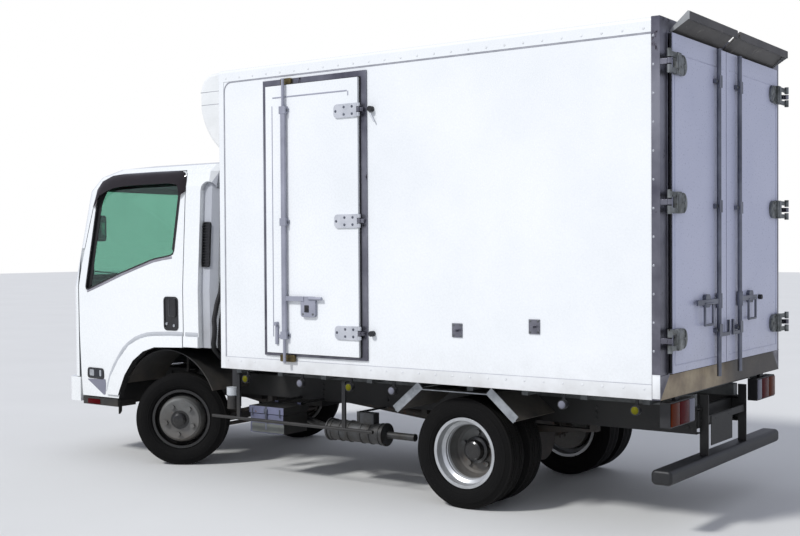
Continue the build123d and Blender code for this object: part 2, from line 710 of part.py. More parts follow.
screen_outline = [(-705, 1290), (705, 1290), (668, 2010), (-668, 2010)]
screen_hole = front_shape(screen_outline, 4300, 5000)
front_shell = front_part - screen_hole
lamp_hole = block(4774, 4900, 478, 742, 638, 782)
headlamp = cab_solid & block(4776, 4900, 480, 740, 640, 780)
save("headlamps", both(headlamp))
front_shell = front_shell - lamp_hole - other_side(lamp_hole)
save("cab_front", front_shell)
clear_inside = extrude(cab_section(0.0, 838.0, 4806.0, CAB_REAR, CAB_WALL + 4.0), amount=900, dir=(0, 0, 1))
clear_inside = Pos(0, 0, 500) * clear_inside

glass_skin = skin_between(12.0, 18.0, 1, 4)
windscreen = glass_skin & screen_hole & block(4350, 5000, -1000, 1000, 1200, 2050)
rear_pane = block(3302, 3308, -520, 520, 1480, 1900)
save("cab_glass", [windscreen, rear_pane])

# Cab floor: footwell, riser and seat platform, open over the engine
floor_outline = [
    (3334, 850),
    (4255, 850),
    (4255, 650),
    (4790, 650),
    (4790, 675),
    (4285, 675),
    (4285, 880),
    (3334, 880),
]
cab_floor = side_shape(floor_outline, -790, 790) & clear_inside
for side in (1.0, -1.0):
    cab_floor = cab_floor - block(3200, 3418, side * 726.0, side * 900.0, 600, 1000)
cab_floor = cab_floor - block(3334, 4140, -330, 330, 500, 920)
hump = block(3334, 4165, -330, 330, 960, 985) + block(4140, 4165, -330, 330, 860, 985)
hump = hump + block(3334, 4165, 330, 350, 860, 985) + block(3334, 4165, -350, -330, 860, 985)
cab_floor = cab_floor + hump
for side in (1.0, -1.0):
    hinge = block(4650, 4750, side * 304.0, side * 316.0, 560, 655)
    hinge = hinge + rod((TILT_X, side * 304.0, TILT_Z), (TILT_X, side * 316.0, TILT_Z), 30)
    cab_floor = cab_floor + hinge
cab_floor = cab_floor - pocket - other_side(pocket)
save("cab_floor", cab_floor)

# Seats: a driver's seat on the right and a double seat, each a cushion with a back
seats = []
for y0, y1 in ((-740.0, -240.0), (-200.0, 740.0)):
    cushion = block(3560, 4060, y0, y1, 990, 1120)
    back = side_shape([(3480, 1100), (3600, 1100), (3510, 1680), (3430, 1680)], y0, y1)
    seats.append(cushion + back)
save("seats", seats)

# Dashboard across the front of the cab
dash_outline = [(4480, 1060), (4480, 1220), (4760, 1250), (4764, 1000), (4620, 980)]
dashboard = side_shape(dash_outline, -740, 740) & clear_inside
column = rod((4330, -400, 1330), (4530, -400, 1110), 22)
save("dashboard", dashboard - column)

# Steering wheel and its column on the right
wheel_plane = Plane(origin=(4330, -400, 1330), z_dir=(-0.62, 0, 0.78))
ring = wheel_plane * Torus(190, 13)
spoke = wheel_plane * Box(380, 30, 12)
hub_disc = wheel_plane * Cylinder(50, 30)
save("steering_wheel", ring + spoke + hub_disc + column)

# Bumper and steps under the cab, bolted to the cab so that they tilt with it
bumper_outer = cab_section(0.0, 842.0, 4824.0, 4440.0, 0.0, 105.0)
bumper_inner = cab_section(0.0, 842.0, 4824.0, 4300.0, 50.0, 105.0)
ring_solid = extrude(bumper_outer, amount=178, dir=(0, 0, 1))
ring_solid = ring_solid - extrude(bumper_inner, amount=178, dir=(0, 0, 1))
bumper = Pos(0, 0, 396) * (ring_solid & block(4648, 5000, -1000, 1000, -10, 300))
save("front_bumper", bumper)
steps = block(4249, 4628, 660, 832, 378, 434)
save("cab_steps", both(steps))

# Mirrors folded in front of the windscreen corners
mirror_case = block(4790, 4834, 460, 606, 1590, 1790)
mirror_case = fillet(mirror_case.edges().filter_by(Axis.X), 24)
mirror_case = fillet(mirror_case.faces().sort_by(Axis.X)[-1].edges(), 12)
mirror_arm = rod((4822, 570, 1270), (4822, 570, 1600), 10) + rod((4780, 570, 1280), (4824, 570, 1280), 10)
mirror_arm = mirror_arm - cab_solid
save("mirrors", both(mirror_case + mirror_arm))

# Cab doors and their window panes
save("door_left", cab_left_door)
save("door_right", other_side(cab_left_door))
pane = skin_between(18.0, 23.0, 0, 4) & window_prism
save("door_glass_left", pane)
save("door_glass_right", other_side(pane))

# Side door: an insulated leaf with hinge straps on its rear edge
dx0, dx1, dz0, dz1 = SIDE_DOOR
side_leaf = block(dx0, dx1, 949, 966, dz0 - 5, dz1 + 5)
side_leaf = side_leaf + block(dx0 + 20, dx1 - 20, 880, 949, dz0 + 12, dz1 - 12)
for z in (1010.0, 1690.0, 2360.0):
    for low in (z - 40, z + 18):
        knuckle = rod((SIDE_PIN_X, SIDE_PIN_Y, low), (SIDE_PIN_X, SIDE_PIN_Y, low + 22), 11)
        strap = block(SIDE_PIN_X, SIDE_PIN_X + 120, 966, 974, low, low + 22)
        side_leaf = side_leaf + knuckle + strap
    plate = block(SIDE_PIN_X + 14, SIDE_PIN_X + 190, 965, 975, z - 42, z + 42)
    plate = fillet(plate.edges().filter_by(Axis.Y).group_by(Axis.X)[-1], 26)
    side_leaf = side_leaf + plate
save("side_door", side_leaf)

# Rear doors: two insulated leaves with a plug that enters the frame
REAR_LEAVES = [
    {"side": 1.0, "name": "rear_door_left", "meet": SPLIT_Y + 4.0},
    {"side": -1.0, "name": "rear_door_right", "meet": SPLIT_Y - 4.0},
]
for row in REAR_LEAVES:
    side = row["side"]
    meet = row["meet"]
    edge = side * REAR_DOOR_HALF
    leaf = block(DOOR_FACE_X, -6, meet, edge, DOOR_BOTTOM, DOOR_TOP)
    plug = block(-6, 45, meet + side * 12.0, side * 778.0, FLOOR_TOP + 10, 2590)
    leaf = leaf + plug
    for z in (1042.0, 1752.0, 2468.0):
        for low in (z - 62, z + 20):
            pin = rod((REAR_PIN_X, side * REAR_PIN_Y, low), (REAR_PIN_X, side * REAR_PIN_Y, low + 42), 13)
            strap = block(REAR_PIN_X + 3, REAR_PIN_X + 12, side * 800.0, side * REAR_PIN_Y, low + 8, low + 34)
            leaf = leaf + pin + strap
        bracket = block(REAR_PIN_X - 2, DOOR_FACE_X, side * 778.0, side * 832.0, z - 56, z + 56)
        bracket = fillet(bracket.edges().filter_by(Axis.Z).group_by(Axis.X)[0], 8)
        disc = rod((DOOR_FACE_X - 16, side * 730.0, z), (DOOR_FACE_X, side * 730.0, z), 54)
        cheek = block(DOOR_FACE_X - 16, DOOR_FACE_X, side * 730.0, side * 800.0, z - 54, z + 54)
        leaf = leaf + bracket + disc + cheek
    save(row["name"], leaf)

# Lock gear: tall rods in guides with a looped handle and a keeper on each rear door
def loop_handle(y0, y1, z0, z1, x):
    # A bar bent to a U with its open end up, welded to a cross bar
    bar = rod((x, y0, z0), (x, y0, z1), 7) + rod((x, y1, z0), (x, y1, z1), 7)
    return bar + rod((x, y0, z0), (x, y1, z0), 7) + rod((x, y0, z1), (x, y1, z1), 7)


LOCKS = [
    {"side": 1.0, "name": "rear_lock_left", "rod_y": 228.0, "loop": (332.0, 452.0), "end": 556.0},
    {"side": -1.0, "name": "rear_lock_right", "rod_y": -102.0, "loop": (-239.0, -360.0), "end": -380.0},
]
for lock_row in LOCKS:
    y = lock_row["rod_y"]
    near, far = lock_row["loop"]
    end = lock_row["end"]
    lock = rod((-45, y, 800), (-45, y, 2622), 13)
    for z in (1057.0, 1747.0, 2440.0):
        clamp = block(-58, -44, y - 22, y + 22, z - 34, z + 34)
        foot = block(-46, DOOR_FACE_X, y - 40, y + 40, z - 12, z + 12)
        lock = lock + clamp + foot
    lock = lock + rod((-45, y, 1180), (-45, y, 1262), 18)
    lock = lock + block(-52, -42, y, end, 1206, 1234)
    lock = lock + loop_handle(near, far, 1096, 1212, -49)
    plate = block(-46, DOOR_FACE_X, (near + far) / 2 - 34, (near + far) / 2 + 34, 1190, 1262)
    lock = lock + fillet(plate.edges().filter_by(Axis.X), 20)
    meet = SPLIT_Y + lock_row["side"] * 34.0
    lock = lock + block(-56, -44, min(meet, y), max(meet, y), 1020, 1040)
    lock = lock + block(-56, -44, meet - 8, meet + 8, 1020, 1108)
    save(lock_row["name"], lock)
ROD_X = 2503.0
side_lock = rod((ROD_X, 984, 806), (ROD_X, 984, 2595), 10)
lock_bar = block(ROD_X - 19, ROD_X + 19, 973, 993, 977, 2397)
side_lock = side_lock + fillet(lock_bar.edges().filter_by(Axis.Z), 8)
for z in (977.0, 1693.0, 2397.0):
    side_lock = side_lock + block(ROD_X - 25, ROD_X + 25, 966, 995, z - 24, z + 24)
    side_lock = side_lock + block(ROD_X - 36, ROD_X + 36, 966, 975, z - 12, z + 12)
side_lock = side_lock + rod((ROD_X, 984, 1180), (ROD_X, 984, 1240), 12)
side_lock = side_lock + block(2340, ROD_X, 978, 990, 1196, 1226)
handle_plate = block(2250, 2366, 966, 986, 1098, 1226)
side_lock = side_lock + fillet(handle_plate.edges().filter_by(Axis.Y), 18)
side_lock = side_lock + rod((2196, 986, 1214), (2300, 986, 1214), 10)
side_lock = side_lock + block(2566, 2586, 966, 978, 918, 1060)
side_lock = side_lock + rod((2576, 966, 1048), (2576, 990, 1048), 12)
side_lock = side_lock + block(ROD_X, 2576, 966, 972, 960, 980)
save("side_lock", side_lock)
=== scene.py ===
import math

import bmesh
import bpy
from mathutils import Matrix, Vector
from mathutils.bvhtree import BVHTree


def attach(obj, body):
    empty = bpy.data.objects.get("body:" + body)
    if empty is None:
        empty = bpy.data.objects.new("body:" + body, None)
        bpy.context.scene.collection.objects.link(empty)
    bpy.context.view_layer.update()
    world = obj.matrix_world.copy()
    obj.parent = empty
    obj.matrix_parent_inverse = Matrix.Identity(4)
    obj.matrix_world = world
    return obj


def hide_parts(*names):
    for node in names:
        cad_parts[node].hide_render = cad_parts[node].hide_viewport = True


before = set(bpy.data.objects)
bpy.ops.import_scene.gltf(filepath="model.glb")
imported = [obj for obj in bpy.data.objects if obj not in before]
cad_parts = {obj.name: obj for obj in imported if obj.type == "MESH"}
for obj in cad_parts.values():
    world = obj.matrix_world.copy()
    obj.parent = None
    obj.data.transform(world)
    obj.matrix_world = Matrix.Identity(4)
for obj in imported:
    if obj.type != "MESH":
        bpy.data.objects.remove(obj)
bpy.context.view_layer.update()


# The viewpoint: a person with a camera at head height behind the left rear corner,
# about seven metres from the truck, with a lens a little longer than normal.
def standing(name, data):
    # An object made of that camera, lamp or mesh, standing in the scene
    thing = bpy.data.objects.new(name, data)
    bpy.context.scene.collection.objects.link(thing)
    return thing


EYE = (-4.80541, 6.61574, 1.52899)
YAW = -0.94904
PITCH = -0.0175
ROLL = -0.00597
FOCAL_PIXELS = 1181.2
PICTURE_WIDTH = 800.0
FILM_WIDTH = 36.0
forward = Vector((math.cos(PITCH) * math.cos(YAW), math.cos(PITCH) * math.sin(YAW), math.sin(PITCH)))
level = Vector((math.sin(YAW), -math.cos(YAW), 0.0))
upright = level.cross(forward)
right = level * math.cos(ROLL) + upright * math.sin(ROLL)
above = upright * math.cos(ROLL) - level * math.sin(ROLL)
eye = bpy.data.cameras.new("viewpoint")
eye.sensor_width = FILM_WIDTH
eye.lens = FOCAL_PIXELS / PICTURE_WIDTH * FILM_WIDTH
eye.clip_end = 300.0
camera = standing("viewpoint", eye)
camera.matrix_world = Matrix((
    (right.x, above.x, -forward.x, EYE[0]),
    (right.y, above.y, -forward.y, EYE[1]),
    (right.z, above.z, -forward.z, EYE[2]),
    (0.0, 0.0, 0.0, 1.0),
))
bpy.context.scene.camera = camera


# The place it stands: a pale smooth studio floor, an even pale sky and one broad soft
# lamp high on the left, so that the side wall is bright and the rear doors stay in shade.
def linear(code):
    values = [int(code[i:i + 2], 16) / 255.0 for i in (1, 3, 5)]
    return tuple([v / 12.92 if v <= 0.04045 else ((v + 0.055) / 1.055) ** 2.4 for v in values] + [1.0])


def add(tree, kind, settings=None, values=None, links=None):
    # One node with its settings, its socket values and what is linked into it
    node = tree.nodes.new(kind)
    for key, value in (settings or {}).items():
        setattr(node, key, value)
    for key, value in (values or {}).items():
        node.inputs[key].default_value = value
    for key, value in (links or {}).items():
        tree.links.new(value, node.inputs[key])
    return node


def blank(name):
    # A material with nothing in it yet, its node tree and the place of each point
    material = bpy.data.materials.new(name)
    material.use_nodes = True
    tree = material.node_tree
    tree.nodes.clear()
    return material, tree, add(tree, "ShaderNodeTexCoord").outputs["Object"]


SKY_LIGHT = 0.62
LAMP_POWER = 2.3
LAMP_FROM = Vector((0.28, 0.80, 0.78))
FLOOR_REACH = 60.0
sky = bpy.data.worlds.new("pale sky")
sky.use_nodes = True
tree = sky.node_tree
tree.nodes.clear()
rays = add(tree, "ShaderNodeLightPath").outputs
seen = add(tree, "ShaderNodeMath", {"operation": "MAXIMUM"},
           links={0: rays["Is Camera Ray"], 1: rays["Is Transmission Ray"]})
lighting = add(tree, "ShaderNodeBackground", values={"Color": linear("#e9eeff"), "Strength": SKY_LIGHT})
backdrop = add(tree, "ShaderNodeBackground", values={"Color": (1.0, 1.0, 1.0, 1.0), "Strength": 1.0})
mixed = add(tree, "ShaderNodeMixShader",
            links={0: seen.outputs[0], 1: lighting.outputs[0], 2: backdrop.outputs[0]})
add(tree, "ShaderNodeOutputWorld", links={"Surface": mixed.outputs[0]})
bpy.context.scene.world = sky
bpy.context.scene.view_settings.view_transform = "Standard"
lamp = bpy.data.lights.new("broad lamp", "SUN")
lamp.energy = LAMP_POWER
lamp.angle = math.radians(9.0)
lamp_object = standing("broad lamp", lamp)
lamp_object.rotation_euler = LAMP_FROM.to_track_quat("Z", "Y").to_euler()
floor_mesh = bpy.data.meshes.new("studio_floor")
floor_corners = [(x * FLOOR_REACH, y * FLOOR_REACH, 0) for x, y in ((-1, -1), (1, -1), (1, 1), (-1, 1))]
floor_mesh.from_pydata(floor_corners, [], [(0, 1, 2, 3)])
floor = standing("studio_floor", floor_mesh)
# Painted boards rolled smooth: a pale even grey without shine
plain, tree, where = blank("pale_smooth_floor")
mottle = add(tree, "ShaderNodeTexNoise", values={"Scale": 0.7, "Detail": 3.0}, links={"Vector": where})
tone = add(tree, "ShaderNodeMix", {"data_type": "RGBA"}, {6: linear("#d6d6d3"), 7: linear("#dededb")},
           {0: mottle.outputs[0]})
shader = add(tree, "ShaderNodeBsdfPrincipled", values={"Roughness": 0.85},
             links={"Base Color": tone.outputs[2]})
add(tree, "ShaderNodeOutputMaterial", links={"Surface": shader.outputs[0]})
floor_mesh.materials.append(plain)


# Ladder frame, bearers and crossmembers: rolled steel channels, riveted and welded,
# painted black and dusty from the road; the box sits on galvanised cross channels.
def finish(name, base, other, patch, grain, rough, metal=0.0, bump=0.0, coat=0.0, dirt=None, spots=None,
           stretch=(1.0, 1.0, 1.0), edge=2.0, sheen=0.0):
    # patch and grain are in millimetres; dirt is a colour, the heights in metres between
    # which it fades out and its strength; spots are a colour, a size in mm and how few
    material, tree, where = blank(name)
    drawn = add(tree, "ShaderNodeMapping", values={"Scale": stretch}, links={"Vector": where})
    broad = add(tree, "ShaderNodeTexNoise", values={"Scale": 1000.0 / patch, "Detail": 4.0, "Roughness": 0.6},
                links={"Vector": where})
    fine = add(tree, "ShaderNodeTexNoise", values={"Scale": 1000.0 / grain, "Detail": 3.0},
               links={"Vector": drawn.outputs[0]})
    share = add(tree, "ShaderNodeMapRange", values={"From Min": 0.36, "From Max": 0.66},
                links={"Value": broad.outputs[0]})
    colour = add(tree, "ShaderNodeMix", {"data_type": "RGBA"}, {6: linear(base), 7: linear(other)},
                 {0: share.outputs[0]}).outputs[2]
    smoothest = max(rough - 0.06, 0.03)
    dullest = min(rough + 0.1, 1.0)
    worn = add(tree, "ShaderNodeMapRange",
               values={"From Min": 0.25, "From Max": 0.75, "To Min": smoothest, "To Max": dullest},
               links={"Value": fine.outputs[0]}).outputs[0]
    if spots:
        spot_colour, spot_size, fewness = spots
        speck = add(tree, "ShaderNodeTexNoise",
                    values={"Scale": 1000.0 / spot_size, "Detail": 6.0, "Roughness": 0.7},
                    links={"Vector": where})
        few = add(tree, "ShaderNodeMapRange", values={"From Min": fewness, "From Max": fewness + 0.07},
                  links={"Value": speck.outputs[0]}).outputs[0]
        colour = add(tree, "ShaderNodeMix", {"data_type": "RGBA"}, {7: linear(spot_colour)},
                     {0: few, 6: colour}).outputs[2]
        worn = add(tree, "ShaderNodeMath", {"operation": "MAXIMUM"}, links={0: worn, 1: few}).outputs[0]
    if dirt:
        dirt_colour, thick_below, none_above, strength = dirt
        height = add(tree, "ShaderNodeSeparateXYZ", links={0: where})
        fade = add(tree, "ShaderNodeMapRange",
                   values={"From Min": thick_below, "From Max": none_above, "To Min": strength, "To Max": 0.0},
                   links={"Value": height.outputs[2]})
        cloud = add(tree, "ShaderNodeTexNoise", values={"Scale": 9.0, "Detail": 7.0, "Roughness": 0.65},
                    links={"Vector": where})
        cover = add(tree, "ShaderNodeMapRange",
                    values={"From Min": 0.3, "From Max": 0.7, "To Min": 0.35, "To Max": 1.3},
                    links={"Value": cloud.outputs[0]})
        cover = add(tree, "ShaderNodeMath", {"operation": "MULTIPLY", "use_clamp": True},
                    links={0: cover.outputs[0], 1: fade.outputs[0]}).outputs[0]
        colour = add(tree, "ShaderNodeMix", {"data_type": "RGBA"}, {7: linear(dirt_colour)},
                     {0: cover, 6: colour}).outputs[2]
        worn = add(tree, "ShaderNodeMath", {"operation": "MAXIMUM"}, links={0: worn, 1: cover}).outputs[0]
    soft = add(tree, "ShaderNodeBevel", {"samples": 4}, {"Radius": edge / 1000.0})
    relief = add(tree, "ShaderNodeBump", values={"Strength": 0.6, "Distance": bump / 1000.0},
                 links={"Height": fine.outputs[0], "Normal": soft.outputs[0]})
    shader = add(tree, "ShaderNodeBsdfPrincipled", values={
        "Metallic": metal, "Coat Weight": coat, "Coat Roughness": 0.08, "Sheen Weight": sheen,
    }, links={"Base Color": colour, "Roughness": worn, "Normal": relief.outputs[0]})
    add(tree, "ShaderNodeOutputMaterial", links={"Surface": shader.outputs[0]})
    return material


def dress(material, *names):
    for name in names:
        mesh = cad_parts[name].data
        mesh.materials.clear()
        mesh.materials.append(material)


def also_dress(name, material, picked):
    # A second finish on those faces of a solid piece that the test picks
    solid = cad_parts[name].data
    solid.materials.append(material)
    for face in solid.polygons:
        if picked(face):
            face.material_index = len(solid.materials) - 1


REAR_TO_MIDDLE = 2372.0


def mm(x, y, z):
    # A point given from the rear of the box, as on the drawing, in the truck's own frame
    return Vector(((x - REAR_TO_MIDDLE) / 1000.0, y / 1000.0, z / 1000.0))


def on_drawing(point):
    # The same the other way: from the truck's own frame to millimetres on the drawing
    return (point.x * 1000.0 + REAR_TO_MIDDLE, point.y * 1000.0, point.z * 1000.0)


def finished(name, bm, material, body, smooth=35.0):
    # Closes a mesh, turns its faces outwards and fixes it to the body that carries it
    bmesh.ops.remove_doubles(bm, verts=bm.verts, dist=1e-6)
    bmesh.ops.recalc_face_normals(bm, faces=bm.faces)
    mesh = bpy.data.meshes.new(name)
    bm.to_mesh(mesh)
    bm.free()
    for face in mesh.polygons:
        face.use_smooth = True
    mesh.set_sharp_from_angle(angle=math.radians(smooth))
    mesh.materials.append(material)
    piece = standing(name, mesh)
    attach(piece, body)
    return piece


def slab(bm, low, high, rounding):
    # A plate or bar between two corners with its edges rounded
    low = mm(*low)
    high = mm(*high)
    size = high - low
    place = Matrix.Translation((low + high) / 2.0) @ Matrix.Diagonal((*map(abs, size), 1.0))
    made = bmesh.ops.create_cube(bm, size=1.0, matrix=place)
    edges = list({edge for vert in made["verts"] for edge in vert.link_edges})
    bmesh.ops.bevel(bm, geom=edges, offset=rounding / 1000.0, offset_type="OFFSET", segments=2, profile=0.5,
                    affect="EDGES", clamp_overlap=True)


def skinned(bm, rows, joined=False):
    # A skin over a row of like rings of points, capped at both ends or joined in a loop
    rings = [[bm.verts.new(point) for point in row] for row in rows]
    for one, two in zip(rings, rings[1:] + rings[:1] if joined else rings[1:]):
        for k in range(len(one)):
            m = (k + 1) % len(one)
            bm.faces.new((one[k], one[m], two[m], two[k]))
    if not joined:
        bm.faces.new(list(reversed(rings[0])))
        bm.faces.new(rings[-1])


def pipe(bm, points, radius, sides=14):
    # A round bar along a path of points, closed at both ends
    path = [mm(*p) for p in points]
    turns = [2.0 * math.pi * k / sides for k in range(sides)]
    rows = []
    for i, point in enumerate(path):
        along = (path[min(i + 1, len(path) - 1)] - path[max(i - 1, 0)]).normalized()
        if rows:
            across = (across - along * across.dot(along)).normalized()
        else:
            across = along.orthogonal().normalized()
        other = along.cross(across)
        rows.append([point + (across * math.cos(t) + other * math.sin(t)) * radius / 1000.0 for t in turns])
    skinned(bm, rows)


# Black chassis paint: dull, brown where road dust lies on it
chassis_paint = finish("black_chassis_paint_on_steel", "#0e0f10", "#171716", 260.0, 3.0, 0.55, bump=0.1,
                       dirt=("#3f3a32", 0.25, 0.75, 0.2), spots=("#3a2317", 60.0, 0.68))
dress(chassis_paint, "frame_rails", "crossmembers")
# Weathered galvanising: a mottled dull grey, brown with dust low down
zinc_coat = finish("galvanised_steel_dull", "#6f7375", "#54585a", 90.0, 8.0, 0.55, metal=0.7, bump=0.1,
                   dirt=("#4c463d", 0.3, 0.9, 0.7))
dress(zinc_coat, "box_bearers")
bolt_tree = bpy.data.node_groups.new("bolt heads", "GeometryNodeTree")
bolt_tree.interface.new_socket("Places", in_out="INPUT", socket_type="NodeSocketGeometry")
BOLT_SOCKETS = {}
for label, kind in (("Head radius", "Float"), ("Head height", "Float"), ("Sides", "Int"), ("Facing", "Vector"),
                    ("Finish", "Material")):
    socket = bolt_tree.interface.new_socket(label, in_out="INPUT", socket_type="NodeSocket" + kind)
    BOLT_SOCKETS[label] = socket.identifier
bolt_tree.interface.new_socket("Heads", in_out="OUTPUT", socket_type="NodeSocketGeometry")
bolt_tree.is_modifier = True
given = add(bolt_tree, "NodeGroupInput").outputs
head = add(bolt_tree, "GeometryNodeMeshCylinder", links={
    "Vertices": given["Sides"], "Radius": given["Head radius"], "Depth": given["Head height"]})
flare = add(bolt_tree, "ShaderNodeMath", {"operation": "MULTIPLY"}, {1: 1.45}, {0: given["Head radius"]})
thin = add(bolt_tree, "ShaderNodeMath", {"operation": "MULTIPLY"}, {1: 0.3}, {0: given["Head height"]})
washer = add(bolt_tree, "GeometryNodeMeshCylinder", values={"Vertices": 12},
             links={"Radius": flare.outputs[0], "Depth": thin.outputs[0]})
both = add(bolt_tree, "GeometryNodeJoinGeometry")
bolt_tree.links.new(head.outputs["Mesh"], both.inputs[0])
bolt_tree.links.new(washer.outputs["Mesh"], both.inputs[0])
turned = add(bolt_tree, "FunctionNodeAlignRotationToVector", {"axis": "Z"}, links={"Vector": given["Facing"]})
spread = add(bolt_tree, "GeometryNodeInstanceOnPoints", links={
    "Points": given["Places"], "Instance": both.outputs[0], "Rotation": turned.outputs[0]})
real = add(bolt_tree, "GeometryNodeRealizeInstances", links={0: spread.outputs[0]})
coated = add(bolt_tree, "GeometryNodeSetMaterial",
             links={"Geometry": real.outputs[0], "Material": given["Finish"]})
add(bolt_tree, "NodeGroupOutput", links={0: coated.outputs[0]})


def applied(piece):
    # The mesh of a piece as its modifiers leave it; they are taken off
    shown = piece.evaluated_get(bpy.context.evaluated_depsgraph_get())
    mesh = bpy.data.meshes.new_from_object(shown)
    piece.modifiers.clear()
    return mesh


def made_plain(piece, tree, inputs):
    # Runs one Geometry Nodes tree on a piece and keeps its result as a plain mesh
    grown = piece.modifiers.new("made", "NODES")
    grown.node_group = tree
    for key, value in inputs.items():
        grown[key] = value
    piece.data = applied(piece)
    piece.data.name = piece.name


def bolts(name, places, facing, radius, height, material, body, sides=6):
    # Bolt or rivet heads on a list of places, all facing one way
    mesh = bpy.data.meshes.new(name)
    mesh.from_pydata([tuple(mm(*p)) for p in places], [], [])
    piece = standing(name, mesh)
    made_plain(piece, bolt_tree, {
        BOLT_SOCKETS["Head radius"]: radius / 1000.0, BOLT_SOCKETS["Head height"]: 2.0 * height / 1000.0,
        BOLT_SOCKETS["Sides"]: sides, BOLT_SOCKETS["Facing"]: facing, BOLT_SOCKETS["Finish"]: material})
    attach(piece, body)
    return piece


SIDES = ((1.0, "left"), (-1.0, "right"))
CROSSMEMBERS = (90.0, 652.0, 1072.0, 1512.0, 2162.0, 2712.0, 4192.0, 4392.0)
for side, end in SIDES:
    rail_rivets = [(x, side * 350.0, z) for x in CROSSMEMBERS for z in (520.0, 555.0, 590.0)]
    bolts("rail_rivets_" + end, rail_rivets, (0, side, 0), 9.0, 6.0, chassis_paint, "chassis",
          10)

# Axles, springs and drive line: forged and cast parts with a thin black paint, dusty and
# a little rusty; the springs are clamped to the axles by U bolts.

# Paint and grease on cast iron: nearly black, matt and blotched with brown
axle_paint = finish("black_painted_castings", "#1a1a1b", "#2a2723", 120.0, 5.0, 0.6, bump=0.3,
                    dirt=("#5a5147", 0.1, 0.7, 0.5), spots=("#5a3320", 45.0, 0.6))
dress(axle_paint, "front_axle", "leaf_springs", "rear_axle", "propeller_shaft", "knuckle_left",
      "knuckle_right", "tie_rod")
# Oily iron: dark, with soft wet patches
engine_iron = finish("bare_cast_iron_oily", "#2b2a29", "#1c1b1a", 150.0, 6.0, 0.6, metal=0.5, bump=0.4)
dress(engine_iron, "powertrain")
FRONT_AXLE = 3764.0
REAR_AXLE = 1274.0
bm = bmesh.new()
for axle_x, low, high in ((FRONT_AXLE, 246.0, 352.0), (REAR_AXLE, 272.0, 466.0)):
    for side in (1.0, -1.0):
        for x in (axle_x - 46.0, axle_x + 46.0):
            bow = ((289.0, low), (289.0, high), (298.0, high + 8.0),
                   (342.0, high + 8.0), (351.0, high), (351.0, low))
            pipe(bm, [(x, side * y, z) for y, z in bow], 6.0, 10)
finished("spring_u_bolts", bm, axle_paint, "chassis")

# Tyres: black rubber moulded with four zigzag grooves round the tread, cross cuts at its
# shoulders and rings on the walls; worn grey where they roll, brown with road dust.
TYRE_RADIUS = 325.0
GROOVE_DEEP = 9.0
TREAD_LINE = [
    (-60.0, 208.5), (-64.0, 211.0), (-76.0, 217.0), (-84.0, 232.0), (-85.5, 233.0), (-90.5, 250.0),
    (-92.0, 262.0), (-90.5, 280.0), (-89.0, 291.0), (-86.0, 293.0), (-82.0, 305.0), (-74.0, 316.5),
]
RIBS = [(-73.0, -47.0), (-40.0, -25.0), (-18.0, 18.0), (25.0, 40.0), (47.0, 73.0)]
CROWN = TYRE_RADIUS - 0.5
SHOULDER_DROP = 4.5
RIB_DROP = 0.4
half_line = list(TREAD_LINE)
for first, last in RIBS:
    if first > -70.0:
        half_line.append((first - 1.5, CROWN - GROOVE_DEEP))
    half_line.append((first, CROWN - (SHOULDER_DROP if first < -60.0 else RIB_DROP)))
    half_line.append((last, CROWN - RIB_DROP))
    if last < 70.0:
        half_line.append((last + 1.5, CROWN - GROOVE_DEEP))
tyre_line = half_line + [(-y, r) for y, r in reversed(TREAD_LINE)] + [(56.0, 195.0), (-56.0, 195.0)]
# Filled natural rubber, moulded: dull black with brown bloom, polished grey on the tread
tyre_rubber, tree, where = blank("moulded_tyre_rubber")
wheel_map = add(tree, "ShaderNodeUVMap", {"uv_map": "round_and_across"}).outputs[0]
bloom = add(tree, "ShaderNodeTexNoise", values={"Scale": 14.0, "Detail": 5.0}, links={"Vector": where})
toned = add(tree, "ShaderNodeMix", {"data_type": "RGBA"}, {6: linear("#080809"), 7: linear("#100f0e")},
            {0: bloom.outputs[0]})
parts = add(tree, "ShaderNodeSeparateXYZ", links={0: wheel_map})
on_tread = add(tree, "ShaderNodeMapRange", values={"From Min": 0.318, "From Max": 0.3225},
               links={"Value": parts.outputs[1]})
toned = add(tree, "ShaderNodeMix", {"data_type": "RGBA"}, {7: linear("#131211")},
            {0: on_tread.outputs[0], 6: toned.outputs[2]})
# Fine cross cuts about 14 mm apart round the tread and shallow rings 6 mm apart on the wall
cuts = add(tree, "ShaderNodeTexWave", {"wave_type": "BANDS", "bands_direction": "X", "wave_profile": "TRI"},
           {"Scale": 11.0, "Distortion": 0.6}, {"Vector": wheel_map})
rings = add(tree, "ShaderNodeTexWave", {"wave_type": "BANDS", "bands_direction": "Y", "wave_profile": "SIN"},
            {"Scale": 26.0, "Distortion": 0.0}, {"Vector": wheel_map})
sharp_cuts = add(tree, "ShaderNodeMapRange", values={"From Min": 0.03, "From Max": 0.12},
                 links={"Value": cuts.outputs["Fac"]})
shape = add(tree, "ShaderNodeMix", {"data_type": "FLOAT"},
            links={0: on_tread.outputs[0], 2: rings.outputs["Fac"], 3: sharp_cuts.outputs[0]})
relief = add(tree, "ShaderNodeBump", values={"Strength": 0.5, "Distance": 0.0012},
             links={"Height": shape.outputs[0]})
shader = add(tree, "ShaderNodeBsdfPrincipled",
             values={"Roughness": 0.82, "IOR": 1.52, "Specular IOR Level": 0.15},
             links={"Base Color": toned.outputs[2], "Normal": relief.outputs[0]})
add(tree, "ShaderNodeOutputMaterial", links={"Surface": shader.outputs[0]})


TYRE_STEPS = 132
ZIGZAG = 2.2


